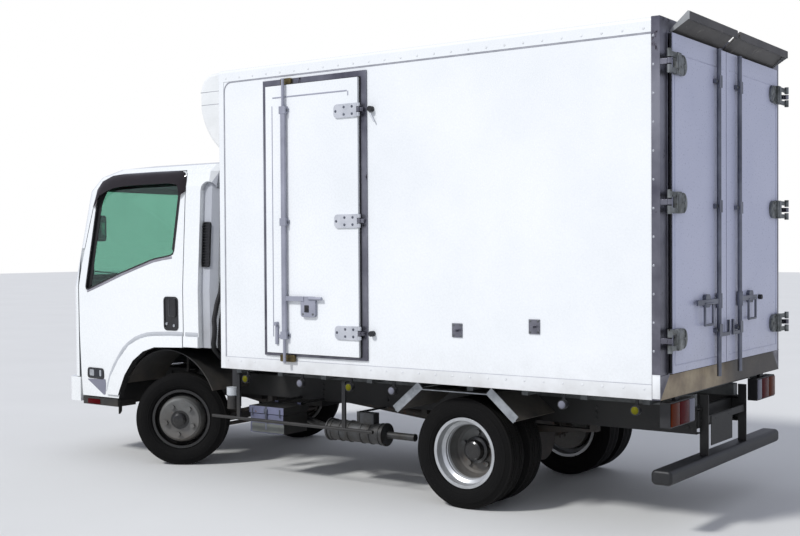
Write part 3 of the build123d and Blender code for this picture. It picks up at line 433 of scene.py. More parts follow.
def tyre_ring(bm, layer, centre, turn):
    # One tyre: the outline above carried round the axle, each groove swinging from side to side
    rows = []
    for step in range(TYRE_STEPS):
        angle = 2.0 * math.pi * step / TYRE_STEPS
        swing = ZIGZAG if step % 4 < 2 else -ZIGZAG
        row = []
        for y, r in tyre_line:
            offset = swing if r > TYRE_RADIUS - GROOVE_DEEP - 2.0 and abs(y) < 60.0 else 0.0
            local = Vector((r * math.cos(angle), y + offset, r * math.sin(angle))) / 1000.0
            row.append((bm.verts.new(centre + turn @ local), r))
        rows.append(row)
    count = len(tyre_line)
    for step in range(TYRE_STEPS):
        one = rows[step]
        two = rows[(step + 1) % TYRE_STEPS]
        near = step / TYRE_STEPS
        far = (step + 1) / TYRE_STEPS
        for k in range(count):
            m = (k + 1) % count
            face = bm.faces.new((one[k][0], one[m][0], two[m][0], two[k][0]))
            places = ((near, one[k][1]), (near, one[m][1]), (far, two[m][1]), (far, two[k][1]))
            for loop, (u, r) in zip(face.loops, places):
                loop[layer].uv = (u * 2.04, r / 1000.0)


STEER = math.radians(31.0)
KINGPIN = 612.0
WHEEL_SETS = [
    {"name": "front_left_tyre", "ending": "_front_left", "side": 1.0, "rows": (700.0,)},
    {"name": "front_right_tyre", "ending": "_front_right", "side": -1.0, "rows": (700.0,)},
    {"name": "rear_left_tyres", "ending": "s_rear_left", "side": 1.0, "rows": (530.0, 744.0)},
    {"name": "rear_right_tyres", "ending": "s_rear_right", "side": -1.0, "rows": (530.0, 744.0)},
]


def wheel_place(wheel, row_y):
    # The middle of a wheel and how it stands: the single ones in front turn about kingpins
    side = wheel["side"]
    if len(wheel["rows"]) == 2:
        return mm(REAR_AXLE, side * row_y, TYRE_RADIUS), Matrix.Identity(3)
    out = (row_y - KINGPIN) * side
    centre = mm(FRONT_AXLE - out * math.sin(STEER), side * KINGPIN + out * math.cos(STEER), TYRE_RADIUS)
    return centre, Matrix.Rotation(STEER, 3, "Z")


for wheel in WHEEL_SETS:
    bm = bmesh.new()
    layer = bm.loops.layers.uv.new("round_and_across")
    for row_y in wheel["rows"]:
        tyre_ring(bm, layer, *wheel_place(wheel, row_y))
    tyre = finished(wheel["name"], bm, tyre_rubber, "wheel" + wheel["ending"], 28.0)
    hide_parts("tyre" + wheel["ending"])

# Rims: pressed steel discs welded into rolled rims, their silver paint darkened to grey as
# painted shade and rusty in spots; the rear barrels are bright silver and the hubs are black
# with grease.

# Silver paint made flat grey as painted shade, dusty low down, with spots of rust
rim_paint = finish("silver_wheel_paint_in_painted_shade", "#6d6f6e", "#585957", 140.0, 2.0, 0.5, metal=0.3, bump=0.1,
                   dirt=("#6b6056", 0.05, 0.55, 0.55), spots=("#5d3d29", 34.0, 0.62))
dress(rim_paint, "rim_front_left", "rim_front_right", "rims_rear_left", "rims_rear_right")
# Greasy castings: near black with wet highlights; the same black is painted shade on the outer ring of the
# front rims
hub_black_and_painted_shade = finish("black_greasy_hub_and_painted_shade", "#0c0c0d", "#1a1816", 60.0, 3.0, 0.3, bump=0.2, coat=0.3,
                   spots=("#3d2c20", 30.0, 0.66))
# Sound silver paint: a bright ring inside the dark tyre
barrel_silver = finish("bright_silver_wheel_paint", "#c4c6c8", "#aeb0b1", 140.0, 2.0, 0.36, metal=0.6,
                       bump=0.05, spots=("#5d3d29", 34.0, 0.68))
for wheel in WHEEL_SETS:
    centre, turn = wheel_place(wheel, wheel["rows"][0])
    twin = len(wheel["rows"]) == 2
    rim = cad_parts["rim" + wheel["ending"]].data
    rim.materials.append(hub_black_and_painted_shade)
    rim.materials.append(barrel_silver)
    for face in rim.polygons:
        local = (turn.inverted() @ (face.center - centre)) * 1000.0
        reach = math.hypot(local.x, local.z)
        depth = local.y * wheel["side"]
        if twin:
            black = reach < 80.0 and depth > 118.0
        else:
            # On a front rim the outer ring past 168 mm takes the black hub finish as painted shade
            black = (reach < 66.0 and depth > 97.0) or reach > 168.0
        bright = twin and reach > 158.0
        face.material_index = 1 if black else (2 if bright else 0)

# Insulated box panels: glass-fibre skins with a white gel coat bonded to foam, glossy and
# even, with a little road film along the bottom.

# Polished gel coat: clean glossy white with faint broad waves
gel_coat = finish("white_gel_coat_on_glass_fibre", "#eef0f1", "#e6e9ea", 900.0, 14.0, 0.26, bump=0.05,
                  coat=0.15, dirt=("#8d867b", 0.70, 0.98, 0.16))
dress(gel_coat, "box_left_wall", "box_right_wall", "box_front_wall", "box_roof", "side_door")
# Painted rail: white like the wall but duller, dusty along the bottom
rail_aluminium = finish("white_painted_aluminium_rail", "#e9ebec", "#dfe1e1", 300.0, 6.0, 0.35, bump=0.05,
                        dirt=("#7f766a", 0.70, 0.86, 0.35))
dress(rail_aluminium, "box_floor")
# Painted rivet heads: white dots that show only by their shading
rivet_paint = finish("white_painted_rivets", "#e8eaeb", "#dcdedf", 40.0, 3.0, 0.4)
for side, end in SIDES:
    all_along = [90.0 + 118.0 * k for k in range(26)]
    beside_door = [x for x in all_along if side < 0 or not 1870.0 < x < 2715.0]
    places = [(x, side * 936.0, 790.0) for x in beside_door] + [(x, side * 936.0, 2646.0) for x in all_along]
    bolts("box_rivets_" + end, places, (0, side, 0), 5.0, 1.6, rivet_paint, "chassis", 10)
# A soft grey line: painted shade along the top and front edges of each wall, and the joints of the cooling
# unit
seam_grey = finish("grey_joint_and_painted_shade_line", "#8f9098", "#a5a6ad", 80.0, 4.0, 0.5, bump=0.1)
# Cleaner sealant: a line hardly darker than the wall
seam_pale = finish("white_sealant_bead", "#b1b3b9", "#bfc0c5", 80.0, 4.0, 0.5, bump=0.1)


def ribbon(bm, line, section, place):
    # A bar that follows a bent line on a panel; its section is given across and outwards
    points = [Vector(p) for p in line]
    rows = []
    for i, point in enumerate(points):
        along = (points[min(i + 1, len(points) - 1)] - points[max(i - 1, 0)]).normalized()
        across = Vector((-along.y, along.x))
        rows.append([place(*(point + across * aside), out) for aside, out in section])
    skinned(bm, rows)


turns = [k * math.pi / 12.0 for k in range(7)]
bend = [(2997.0 + 60.5 * math.sin(t), 2560.0 + 60.5 * math.cos(t)) for t in turns]
high_seam = [(48.0, 2620.5)] + bend + [(3057.5, 817.0)]
BEADS = [
    {"name": "box_seam_", "line": high_seam, "half": 4.2, "finish": seam_grey},
    {"name": "box_seam_low_", "line": [(48.0, 813.8), (3060.0, 813.8)], "half": 2.0, "finish": seam_pale},
]
for side, end in SIDES:
    for bead in BEADS:
        half = bead["half"]
        bm = bmesh.new()
        ribbon(bm, bead["line"], ((half, 932.0), (half, 935.0), (-half, 935.0), (-half, 932.0)),
               lambda x, z, out: mm(x, side * out, z))
        finished(bead["name"] + end, bm, bead["finish"], "chassis")

# Rear portal: folded stainless steel round the doors, with a cream painted sill below
# them whose paint is scraped down to rust at the corner.

# Brushed stainless streaked upwards: violet grey from painted shade, with dark patches of painted reflection,
# and darker low down as painted shade
stainless = finish("brushed_stainless_with_painted_shade", "#97979f", "#66656f", 380.0, 2.5, 0.34, metal=1.0, bump=0.05,
                   stretch=(8.0, 8.0, 0.5), dirt=("#45424a", 0.70, 1.9, 0.5), spots=("#4b4750", 120.0, 0.62))
# Cream paint worn thin: warm and matt, with rust where it is scraped
sill_paint = finish("cream_paint_on_steel_sill", "#ab9b7e", "#80705a", 160.0, 5.0, 0.5, bump=0.1,
                    dirt=("#5b5246", 0.70, 0.84, 0.4), spots=("#6a4128", 60.0, 0.66))
dress(stainless, "rear_frame", "side_door_frame", "hold_backs")
also_dress("rear_frame", sill_paint, lambda face: (
    face.center.z < 0.86 and abs(face.normal.y) < 0.5 and abs(face.center.y) < 0.937))
# The sill darkened in clouds, more towards the right
sill_nodes = sill_paint.node_tree
sill_shader = next(node for node in sill_nodes.nodes if node.type == "BSDF_PRINCIPLED")
plain_colour = sill_shader.inputs["Base Color"].links[0].from_socket
across = add(sill_nodes, "ShaderNodeSeparateXYZ", links={0: add(sill_nodes, "ShaderNodeTexCoord").outputs["Object"]})
cloudy = add(sill_nodes, "ShaderNodeTexNoise", values={"Scale": 5.0, "Detail": 5.0})
shifted = add(sill_nodes, "ShaderNodeMath", {"operation": "MULTIPLY_ADD"}, {1: 0.35},
              {0: cloudy.outputs[0], 2: across.outputs[1]})
darker_to_right = add(sill_nodes, "ShaderNodeMapRange",
             values={"From Min": 0.36, "From Max": 0.02, "To Min": 0.0, "To Max": 0.88},
             links={"Value": shifted.outputs[0]})
dulled = add(sill_nodes, "ShaderNodeMix", {"data_type": "RGBA"}, {7: linear("#252426")},
             {0: darker_to_right.outputs[0], 6: plain_colour})
sill_nodes.links.new(dulled.outputs[2], sill_shader.inputs["Base Color"])
bm = bmesh.new()
for side in (1.0, -1.0):
    slab(bm, (-3.0, side * 842.0, 858.0), (1.0, side * 846.0, 2640.0), 0.8)
    slab(bm, (-4.0, side * 846.0, 858.0), (1.0, side * 934.0, 862.0), 0.8)
finished("portal_folds", bm, stainless, "chassis")
# Bare aluminium heads: small bright points in a row
bright_rivets = finish("bright_aluminium_rivets", "#c9cbd0", "#aeb0b6", 30.0, 2.0, 0.35, metal=0.8)
for side, end in SIDES:
    places = [(36.0, side * 938.0, 987.0 + 147.0 * k) for k in range(12)]
    bolts("portal_rivets_" + end, places, (0, side, 0), 4.5, 2.0, bright_rivets, "chassis", 10)
    bm = bmesh.new()
    slab(bm, (0.5, side * 937.5, 742.0), (44.0, side * 940.5, 866.0), 1.2)
    slab(bm, (0.5, side * 939.5, 862.0), (44.0, side * 941.5, 866.0), 0.8)
    finished("rail_end_plate_" + end, bm, rail_aluminium, "chassis")

# Rear doors: insulated leaves with white skins darkened by painted shade and black gaskets,
# hung on cast stainless strap hinges bolted through; a locking bar runs down each from top
# to bottom.

# White gel coat darkened to a cool lilac white as painted shade, a little less glossy than the wall
door_skin = finish("white_gel_coat_in_painted_shade", "#c3c6da", "#b9bdd3", 800.0, 12.0, 0.3, bump=0.05, coat=0.1,
                   dirt=("#7f7a74", 0.80, 1.25, 0.22))
dress(door_skin, "rear_door_left", "rear_door_right")
# Cast stainless: rough mid grey, with dark spots painted as the shadows of holes and bolts
hinge_steel = finish("cast_stainless_with_painted_shadow_spots", "#8d9090", "#5e615f", 60.0, 3.0, 0.42, metal=1.0, bump=0.2,
                     spots=("#3b352e", 30.0, 0.6))
# Drawn stainless: long soft streaks, darker than the sheet
bar_steel = finish("drawn_stainless_bars", "#7b7e88", "#565963", 200.0, 3.0, 0.36, metal=0.9, bump=0.05,
                   stretch=(6.0, 6.0, 0.6))
dress(bar_steel, "rear_lock_left", "rear_lock_right")
for name in ("rear_door_left", "rear_door_right"):
    also_dress(name, hinge_steel, lambda face: face.center.x < -2.3975 and abs(face.center.y) > 0.676)
# Black rubber: matt lines that mark the shut edges
gasket = finish("black_door_gasket", "#17171a", "#222226", 60.0, 4.0, 0.6, bump=0.1)
REAR_HINGES = (1042.0, 1752.0, 2468.0)
REAR_LEAVES = [
    {"body": "box_rear_door_left", "name": "rear_left", "near": 64.0, "far": 832.0, "bar": 228.0},
    {"body": "box_rear_door_right", "name": "rear_right", "near": 56.0, "far": -832.0, "bar": -102.0},
]
for leaf in REAR_LEAVES:
    near = leaf["near"]
    far = leaf["far"]
    side = 1.0 if far > near else -1.0
    bm = bmesh.new()
    slab(bm, (-22.0, near - side * 2.0, 867.0), (-8.0, near + side * 1.0, 2627.0), 1.0)
    slab(bm, (-20.0, far - side * 1.0, 868.0), (-7.0, far + side * 4.0, 2626.0), 1.5)
    slab(bm, (-20.0, near, 861.5), (-7.0, far, 867.0), 1.5)
    slab(bm, (-20.0, near, 2627.0), (-7.0, far, 2632.0), 1.5)
    finished(leaf["name"] + "_gasket", bm, gasket, leaf["body"])
    bm = bmesh.new()
    slab(bm, (-27.5, near + side * 40.0, 2522.0), (-24.5, far - side * 24.0, 2526.0), 1.0)
    slab(bm, (-27.5, near + side * 40.0, 905.0), (-24.5, far - side * 24.0, 908.0), 1.0)
    slab(bm, (-27.5, far - side * 26.0, 905.0), (-24.5, far - side * 23.0, 2526.0), 1.0)
    finished(leaf["name"] + "_skin_joint", bm, door_skin, leaf["body"])
    heads = [(-41.0, side * y, z + dz) for z in REAR_HINGES
             for y, dz in ((704.0, 30.0), (752.0, 34.0), (706.0, -28.0), (752.0, -36.0))]
    bolts(leaf["name"] + "_hinge_bolts", heads, (-1, 0, 0), 7.0, 4.0, hinge_steel, leaf["body"])
    bm = bmesh.new()
    turns = [math.radians(-70.0 + k * 20.0) for k in range(15)]
    for z in REAR_HINGES:
        for y, middle_z, reach in ((726.0, z + 24.0, 25.0), (732.0, z - 24.0, 27.0)):
            lobe = [(-41.5, side * (y - reach * math.cos(t)), middle_z + reach * math.sin(t)) for t in turns]
            pipe(bm, lobe, 3.0, 8)
        slab(bm, (-57.0, side * 784.0, z - 50.0), (-53.0, side * 826.0, z + 50.0), 1.5)
    finished(leaf["name"] + "_hinge_lobes", bm, hinge_steel, leaf["body"])
    heads = [(-46.0, leaf["bar"] + dy, z) for z in (1057.0, 1747.0, 2440.0) for dy in (-32.0, 32.0)]
    bolts(leaf["name"] + "_guide_bolts", heads, (-1, 0, 0), 5.0, 3.5, hinge_steel, leaf["body"])
bm = bmesh.new()
pipe(bm, [(-46.0, -486.0, 1216.0), (-24.0, -486.0, 1216.0)], 15.0, 20)
finished("rear_key_barrel", bm, gasket, "box_rear_door_right")

# Side door: the same white skin as the wall with a pressed line round it, a black gasket,
# zinc plated strap hinges and lock bar, brassy keepers and the lever of its stay.
bm = bmesh.new()
for x0, z0, x1, z1 in ((1917.0, 864.0, 1924.0, 2556.0), (2665.0, 864.0, 2671.0, 2556.0),
                       (1917.0, 2557.5, 2671.0, 2563.0), (1917.0, 858.0, 2671.0, 862.5)):
    slab(bm, (x0, 941.0, z0), (x1, 951.0, z1), 1.5)
finished("side_door_gasket", bm, gasket, "box_side_door")
bm = bmesh.new()
slab(bm, (2606.0, 965.0, 965.0), (2613.0, 967.6, 2430.0), 1.2)
slab(bm, (2004.0, 965.0, 2477.0), (2605.0, 967.6, 2486.0), 1.2)
slab(bm, (1993.0, 965.0, 2452.0), (2000.0, 967.6, 2480.0), 1.2)
# Painted shade of a pressed groove: a thin lilac grey line on the door
groove_painted_shade = finish("gel_coat_with_painted_groove_shade", "#9798a6", "#a9abb7", 120.0, 5.0, 0.4)
finished("side_door_pressed_lines", bm, groove_painted_shade, "box_side_door")
# Fresh zinc plating: pale silver with a white bloom
bright_zinc = finish("bright_zinc_plated_steel", "#d3d5da", "#bcbfc5", 110.0, 3.0, 0.46, metal=0.55, bump=0.08,
                     spots=("#8b8378", 40.0, 0.66))
# Old zinc plating: a flat blue grey
lock_zinc = finish("dull_zinc_plated_bar", "#a2a4b0", "#8f919d", 140.0, 3.0, 0.5, metal=0.4, bump=0.08)
dress(lock_zinc, "side_lock")
HINGE_END = mm(2122.0, 0.0, 0.0).x
also_dress("side_door", bright_zinc, lambda face: face.center.y > 0.9665 and face.center.x < HINGE_END)
heads = [(x, 974.5, z + dz) for z in (1010.0, 1690.0, 2360.0)
         for x, dz in ((1960.0, 22.0), (1960.0, -22.0), (2022.0, 22.0), (2022.0, -22.0), (2086.0, 0.0))]
bolts("side_hinge_bolts", heads, (0, 1, 0), 6.0, 3.0, bar_steel, "box_side_door", 12)
bm = bmesh.new()
lever = [(1858.0, 940.0, 2362.0), (1851.0, 949.0, 2352.0), (1832.0, 950.0, 2318.0), (1812.0, 950.0, 2284.0)]
pipe(bm, lever, 5.0, 12)
finished("side_door_stay_lever", bm, bright_zinc, "chassis")
heads = [(2503.0 + dx, 975.0, z) for z in (977.0, 1693.0, 2397.0) for dx in (-29.0, 29.0)]
heads = heads + [(2268.0, 986.0, 1116.0), (2348.0, 986.0, 1116.0), (2348.0, 986.0, 1208.0)]
bolts("side_guide_bolts", heads, (0, 1, 0), 5.0, 3.0, hinge_steel, "box_side_door")
bm = bmesh.new()
slab(bm, (2300.0, 985.0, 1128.0), (2334.0, 991.0, 1172.0), 5.0)
pipe(bm, [(2317.0, 990.0, 1150.0), (2317.0, 994.0, 1150.0)], 8.0, 16)
finished("side_handle_lock", bm, gasket, "box_side_door")
# Yellow passivated steel: a worn brassy brown
keeper_brass = finish("yellow_passivated_steel", "#6f6240", "#4f4630", 40.0, 3.0, 0.45, metal=0.8, bump=0.1)
BAR_AFTER = mm(2440.0, 0.0, 0.0).x
also_dress("side_door_frame", keeper_brass, lambda face: (
    face.center.y > 0.9445 and face.center.x > BAR_AFTER and not 0.853 <= face.center.z <= 2.561))
STOP_FROM = mm(1810.0, 0.0, 0.0).x
STOP_TO = mm(1870.0, 0.0, 0.0).x
also_dress("hold_backs", gasket, lambda face: STOP_FROM < face.center.x < STOP_TO)
heads = [(x + dx, 939.0, z + dz) for x, z in ((1236.0, 1052.0), (734.0, 1090.0))
         for dx, dz in ((-24.0, -30.0), (24.0, -30.0), (-24.0, 30.0), (24.0, 30.0))]
bolts("hold_back_bolts", heads, (0, 1, 0), 4.5, 2.5, hinge_steel, "chassis", 10)

# Rain hood: two bent steel sheets over the rear doors, painted dark and chalky on top,
# riveted to the roof rail through their back edge.

# Weathered paint: dark grey with chalky patches
hood_paint = finish("dark_grey_paint_on_sheet", "#3c3a39", "#4b4846", 180.0, 4.0, 0.48, bump=0.1,
                    spots=("#7b7672", 50.0, 0.62))
# Light grey paint: a pale end to the dark hood
hood_light = finish("light_grey_painted_gusset", "#a9abac", "#8e9090", 120.0, 4.0, 0.4, metal=0.4)
dress(hood_paint, "rear_hood")
also_dress("rear_hood", hood_light, lambda face: abs(face.normal.y) > 0.9 and abs(face.center.y) > 0.79)
heads = [(-5.0, y, 2657.0) for y in (120.0, 340.0, 560.0, 770.0, -70.0, -290.0, -510.0, -770.0)]
bolts("hood_rivets", heads, (-0.66, 0, 0.75), 6.0, 3.0, hood_light, "chassis", 10)

# Cooling unit: a moulded white housing in bolted panels, with a slatted air grille across
# its front over the dark condenser behind it.

# Moulded plastic: smooth white with a soft gloss, dusty low down
unit_white = finish("white_moulded_housing", "#f0f1f0", "#e3e5e4", 420.0, 6.0, 0.34, bump=0.05, coat=0.1,
                    dirt=("#8d867b", 2.15, 2.6, 0.2))
dress(unit_white, "fridge_unit")
# Thin metal fins: dark, with close upright lines
condenser = finish("dark_condenser_fins", "#22262a", "#33393d", 60.0, 2.0, 0.55, metal=0.4, bump=0.8,
                   stretch=(0.3, 6.0, 0.3))
slat_tree = bpy.data.node_groups.new("slats in a row", "GeometryNodeTree")
SLAT_SOCKETS = {}
for label, kind in (("Count", "Int"), ("Slat size", "Vector"), ("Tilt", "Vector"), ("First", "Vector"),
                    ("Step", "Vector"), ("Finish", "Material")):
    socket = slat_tree.interface.new_socket(label, in_out="INPUT", socket_type="NodeSocket" + kind)
    SLAT_SOCKETS[label] = socket.identifier
slat_tree.interface.new_socket("Slats", in_out="OUTPUT", socket_type="NodeSocketGeometry")
slat_tree.is_modifier = True
given = add(slat_tree, "NodeGroupInput").outputs
row = add(slat_tree, "GeometryNodeMeshLine", links={
    "Count": given["Count"], "Start Location": given["First"], "Offset": given["Step"]})
one = add(slat_tree, "GeometryNodeMeshCube", links={"Size": given["Slat size"]})
tilted = add(slat_tree, "FunctionNodeEulerToRotation", links={0: given["Tilt"]})
placed = add(slat_tree, "GeometryNodeInstanceOnPoints", links={
    "Points": row.outputs[0], "Instance": one.outputs["Mesh"], "Rotation": tilted.outputs[0]})
real = add(slat_tree, "GeometryNodeRealizeInstances", links={0: placed.outputs[0]})
coated = add(slat_tree, "GeometryNodeSetMaterial",
             links={"Geometry": real.outputs[0], "Material": given["Finish"]})
add(slat_tree, "NodeGroupOutput", links={0: coated.outputs[0]})


def slats(name, count, first, step, size, tilt, material, body):
    # A grille: the same slat repeated along one line
    holder = standing(name, bpy.data.meshes.new(name))
    made_plain(holder, slat_tree, {
        SLAT_SOCKETS["Count"]: count, SLAT_SOCKETS["First"]: tuple(mm(*first)),
        SLAT_SOCKETS["Step"]: tuple(v / 1000.0 for v in step),
        SLAT_SOCKETS["Slat size"]: tuple(v / 1000.0 for v in size),
        SLAT_SOCKETS["Tilt"]: tilt, SLAT_SOCKETS["Finish"]: material})
    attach(holder, body)
    return holder


bm = bmesh.new()
for side in (1.0, -1.0):
    slab(bm, (3514.0, side * 40.0, 2512.0), (3518.0, side * 610.0, 2596.0), 1.5)
finished("condenser_cores", bm, condenser, "chassis")
for side, name in SIDES:
    slats("unit_grille_" + name, 6, (3518.5, side * 325.0, 2517.0), (0, 0, 14.6), (7.0, 584.0, 4.0),
          (0.0, 0.5, 0.0), unit_white, "chassis")
bm = bmesh.new()
for side in (1.0, -1.0):
    slab(bm, (3118.0, side * 699.2, 2613.0), (3510.0, side * 700.6, 2617.0), 0.6)
    slab(bm, (3118.0, side * 699.2, 2524.0), (3502.0, side * 700.6, 2528.0), 0.6)
    slab(bm, (3150.0, side * 699.2, 2200.0), (3154.0, side * 700.6, 2738.0), 0.6)
slab(bm, (3515.2, -670.0, 2598.0), (3516.8, 670.0, 2602.0), 0.6)
slab(bm, (3515.2, -2.0, 2508.0), (3516.8, 2.0, 2598.0), 0.6)
finished("unit_panel_joints", bm, seam_grey, "chassis")
heads = [(3516.5, y, 2500.0) for y in (-640.0, -400.0, -140.0, 140.0, 400.0, 640.0)]
bolts("unit_screws", heads, (1, 0, 0), 5.0, 2.0, hinge_steel, "chassis", 10)

# Coolant hoses: black corrugated sleeving from the cooling unit down the front of the box
# and forward to the engine, clipped to the nose and slack behind the cab.

# Ribbed sleeving: matt black whose ribs catch the light
sleeve_black = finish("black_corrugated_sleeving", "#0e0e10", "#18171a", 40.0, 3.0, 0.6, bump=0.2)
HOSE_SIDES = 14
RIB_LENGTH = 7.0
HOSES = [
    {"name": "hose_outer", "radius": 18.0, "path": [
        (3150, 800, 2190), (3142, 820, 2000), (3142, 850, 1500), (3160, 876, 1240), (3180, 894, 1156),
        (3186, 900, 1103), (3196, 906, 1056), (3190, 906, 990), (3200, 900, 935), (3236, 874, 884),
        (3300, 800, 842), (3352, 690, 780), (3370, 560, 700)]},
    {"name": "hose_inner", "radius": 14.0, "path": [
        (3150, 740, 2190), (3140, 760, 2000), (3140, 800, 1500), (3158, 836, 1200), (3182, 858, 1040),
        (3200, 850, 930), (3250, 800, 860), (3340, 640, 760), (3360, 540, 690)]},
]
for hose in HOSES:
    points = [Vector(p) for p in hose["path"]]
    line = []
    for one, two in zip(points, points[1:]):
        count = max(2, int((two - one).length / RIB_LENGTH))
        line.extend(one + (two - one) * (k / count) for k in range(count))
    # Each turn draws the line a little straighter, so that the sleeve hangs in easy bends
    for turn in range(6):
        line = line[:1] + [(a + b * 2.0 + c) / 4.0 for a, b, c in zip(line, line[1:], line[2:])] + line[-1:]
    bm = bmesh.new()
    pipe(bm, [tuple(p) for p in line], hose["radius"], HOSE_SIDES)
    # Every second ring is drawn in, which makes the corrugations
    for k, vert in enumerate(bm.verts):
        ring = k // HOSE_SIDES
        if ring % 2:
            middle = mm(*line[ring])
            vert.co = middle + (vert.co - middle) * 0.86
    finished(hose["name"], bm, sleeve_black, "chassis", 20.0)
bm = bmesh.new()
for z in (1980.0, 1740.0, 1520.0):
    lean = (2000.0 - z) * 0.06
    slab(bm, (3115.0, 738.0 + lean, z - 12.0), (3120.0, 856.0 + lean, z + 12.0), 1.5)
    for y in (820.0, 762.0):
        loop = ((3118.0, -20.0), (3160.0, -20.0), (3164.0, 0.0), (3160.0, 20.0), (3118.0, 20.0))
        pipe(bm, [(x, y + lean + dy, z) for x, dy in loop], 3.0, 8)
finished("hose_clips", bm, bar_steel, "chassis")

# Evaporator: a painted aluminium case under the box roof with two guarded fans that blow
# towards the rear doors.

# Painted sheet: clean white, half matt
case_paint = finish("white_painted_aluminium_case", "#e4e6e6", "#d6d9d9", 200.0, 4.0, 0.38, bump=0.05)
dress(case_paint, "evaporator")


def circle(x, y, z, radius):
    # A closed round path square to the length of the truck
    turns = [2.0 * math.pi * k / 24.0 for k in range(25)]
    return [(x, y + radius * math.cos(t), z + radius * math.sin(t)) for t in turns]


FAN_HEIGHT = 2505.0
bm = bmesh.new()
for y in (-220.0, 220.0):
    for radius in (30.0, 52.0, 74.0, 92.0):
        pipe(bm, circle(2694.0, y, FAN_HEIGHT, radius), 1.8, 6)
    for k in range(4):
        angle = math.pi * (k + 0.5) / 4.0
        dy = 94.0 * math.cos(angle)
        dz = 94.0 * math.sin(angle)
        pipe(bm, [(2692.0, y - dy, FAN_HEIGHT - dz), (2692.0, y + dy, FAN_HEIGHT + dz)], 2.2, 6)
finished("evaporator_fan_guards", bm, bar_steel, "chassis")
bm = bmesh.new()
for y in (-220.0, 220.0):
    pipe(bm, [(2701.0, y, FAN_HEIGHT), (2698.5, y, FAN_HEIGHT)], 95.0, 32)
finished("evaporator_fan_mouths", bm, gasket, "chassis")

# Running gear boxes: the silencer is aluminised steel with seams and rust, the battery box
# is painted lilac grey, the tank is black steel held by straps with a filler cap.

# Aluminised steel after heat, made dark and dull as painted shade, with rust spots
silencer_steel = finish("aluminised_steel_in_painted_shade", "#545658", "#3d3c3a", 90.0, 5.0, 0.45, metal=0.7,
                        bump=0.2, dirt=("#3d362e", 0.2, 0.5, 0.5), spots=("#4a3324", 50.0, 0.63))
# Lilac grey paint: blotched with dust and rust
battery_paint = finish("lilac_grey_paint", "#6b6e86", "#5d6076", 160.0, 4.0, 0.42, bump=0.1,
                       dirt=("#4a4b4c", 0.25, 0.45, 0.7), spots=("#5b4334", 40.0, 0.64))
# Black tank paint: satin under brown dust
tank_paint = finish("black_tank_paint", "#1b1c1e", "#262628", 260.0, 4.0, 0.42, bump=0.1,
                    dirt=("#5c554a", 0.25, 0.65, 0.45))
# Tube made satin black as painted shade, with a thin highlight along it
guard_painted_shade = finish("tube_blackened_as_painted_shade", "#121315", "#1b1c1e", 150.0, 4.0, 0.42,
                     dirt=("#4c473f", 0.3, 0.6, 0.4))
dress(silencer_steel, "exhaust")
dress(battery_paint, "battery_box")
dress(tank_paint, "fuel_tank")
dress(guard_painted_shade, "side_guards")
bm = bmesh.new()
slab(bm, (2812.0, 811.0, 330.0), (2828.0, 815.0, 484.0), 1.5)
slab(bm, (2806.0, 814.0, 436.0), (2834.0, 821.0, 470.0), 3.0)
for x in (2700.0, 2940.0):
    pipe(bm, [(x, 815.0, 470.0), (x, 815.0, 418.0)], 4.0, 8)
finished("battery_box_catches", bm, bar_steel, "chassis")
# Painted shade: every face of the battery box but its sides is dressed in the black chassis paint
also_dress("battery_box", chassis_paint, lambda face: max(abs(face.normal.x), abs(face.normal.z)) > 0.7)
# Grey paint on the tray: a flat mid grey
tray_grey = finish("grey_painted_tray", "#626562", "#53554f", 140.0, 4.0, 0.5, bump=0.1)
bm = bmesh.new()
slab(bm, (2664.0, 810.0, 316.0), (2944.0, 813.5, 372.0), 1.5)
slab(bm, (2664.0, 806.0, 314.0), (2944.0, 813.5, 319.0), 1.2)
finished("battery_tray_front", bm, tray_grey, "chassis")
bm = bmesh.new()
for x in (2060.0, 2480.0):
    slab(bm, (x, -783.0, 370.0), (x + 44.0, -779.0, 572.0), 1.5)
    slab(bm, (x, -740.0, 609.0), (x + 44.0, -480.0, 613.0), 1.5)
pipe(bm, [(2260.0, -700.0, 606.0), (2260.0, -700.0, 640.0)], 34.0, 28)
pipe(bm, [(2260.0, -700.0, 640.0), (2260.0, -700.0, 652.0)], 42.0, 28)
finished("tank_straps_and_cap", bm, chassis_paint, "chassis")
bm = bmesh.new()
for x, low in ((1954.0, 1966.0), (2394.0, 2406.0)):
    pipe(bm, [(x, 640.0, 350.0), (low, 640.0, 350.0)], 73.0, 36)
pipe(bm, [(1738.0, 640.0, 350.0), (1746.0, 640.0, 350.0)], 24.0, 20)
finished("silencer_seams", bm, silencer_steel, "chassis")
# Moulded cap: plain satin white
cap_white = finish("white_moulded_cap", "#c9cdd0", "#b5b9bc", 60.0, 3.0, 0.4)
bm = bmesh.new()
pipe(bm, [(3168.0, 760.0, 440.0), (3168.0, 760.0, 450.0), (3168.0, 760.0, 528.0)], 38.0, 28)
slab(bm, (3144.0, 700.0, 450.0), (3192.0, 740.0, 720.0), 3.0)
finished("washer_bottle", bm, tank_paint, "chassis")
bm = bmesh.new()
pipe(bm, [(3168.0, 760.0, 528.0), (3168.0, 760.0, 536.0)], 34.0, 28)
pipe(bm, [(3168.0, 760.0, 534.0), (3168.0, 760.0, 586.0)], 41.0, 28)
finished("washer_bottle_cap", bm, cap_white, "chassis")

# Mudguards: black moulded arches over the rear wheels with bright bent lips outside, liners
# over the front wheels and rubber aprons clamped behind the cab steps.

# Moulded plastic: matt black greyed by dried spray
mudguard_plastic = finish("black_moulded_mudguard", "#1a1b1c", "#28282a", 120.0, 3.0, 0.6, bump=0.2,
                          dirt=("#60584c", 0.5, 0.8, 0.5))
# Zinc plated lip: a bright line round the arch
lip_metal = finish("zinc_plated_lip", "#a9adb0", "#84878a", 70.0, 3.0, 0.4, metal=0.8)
dress(mudguard_plastic, "mudguards")
also_dress("mudguards", lip_metal, lambda face: abs(face.center.y) > 0.8735)
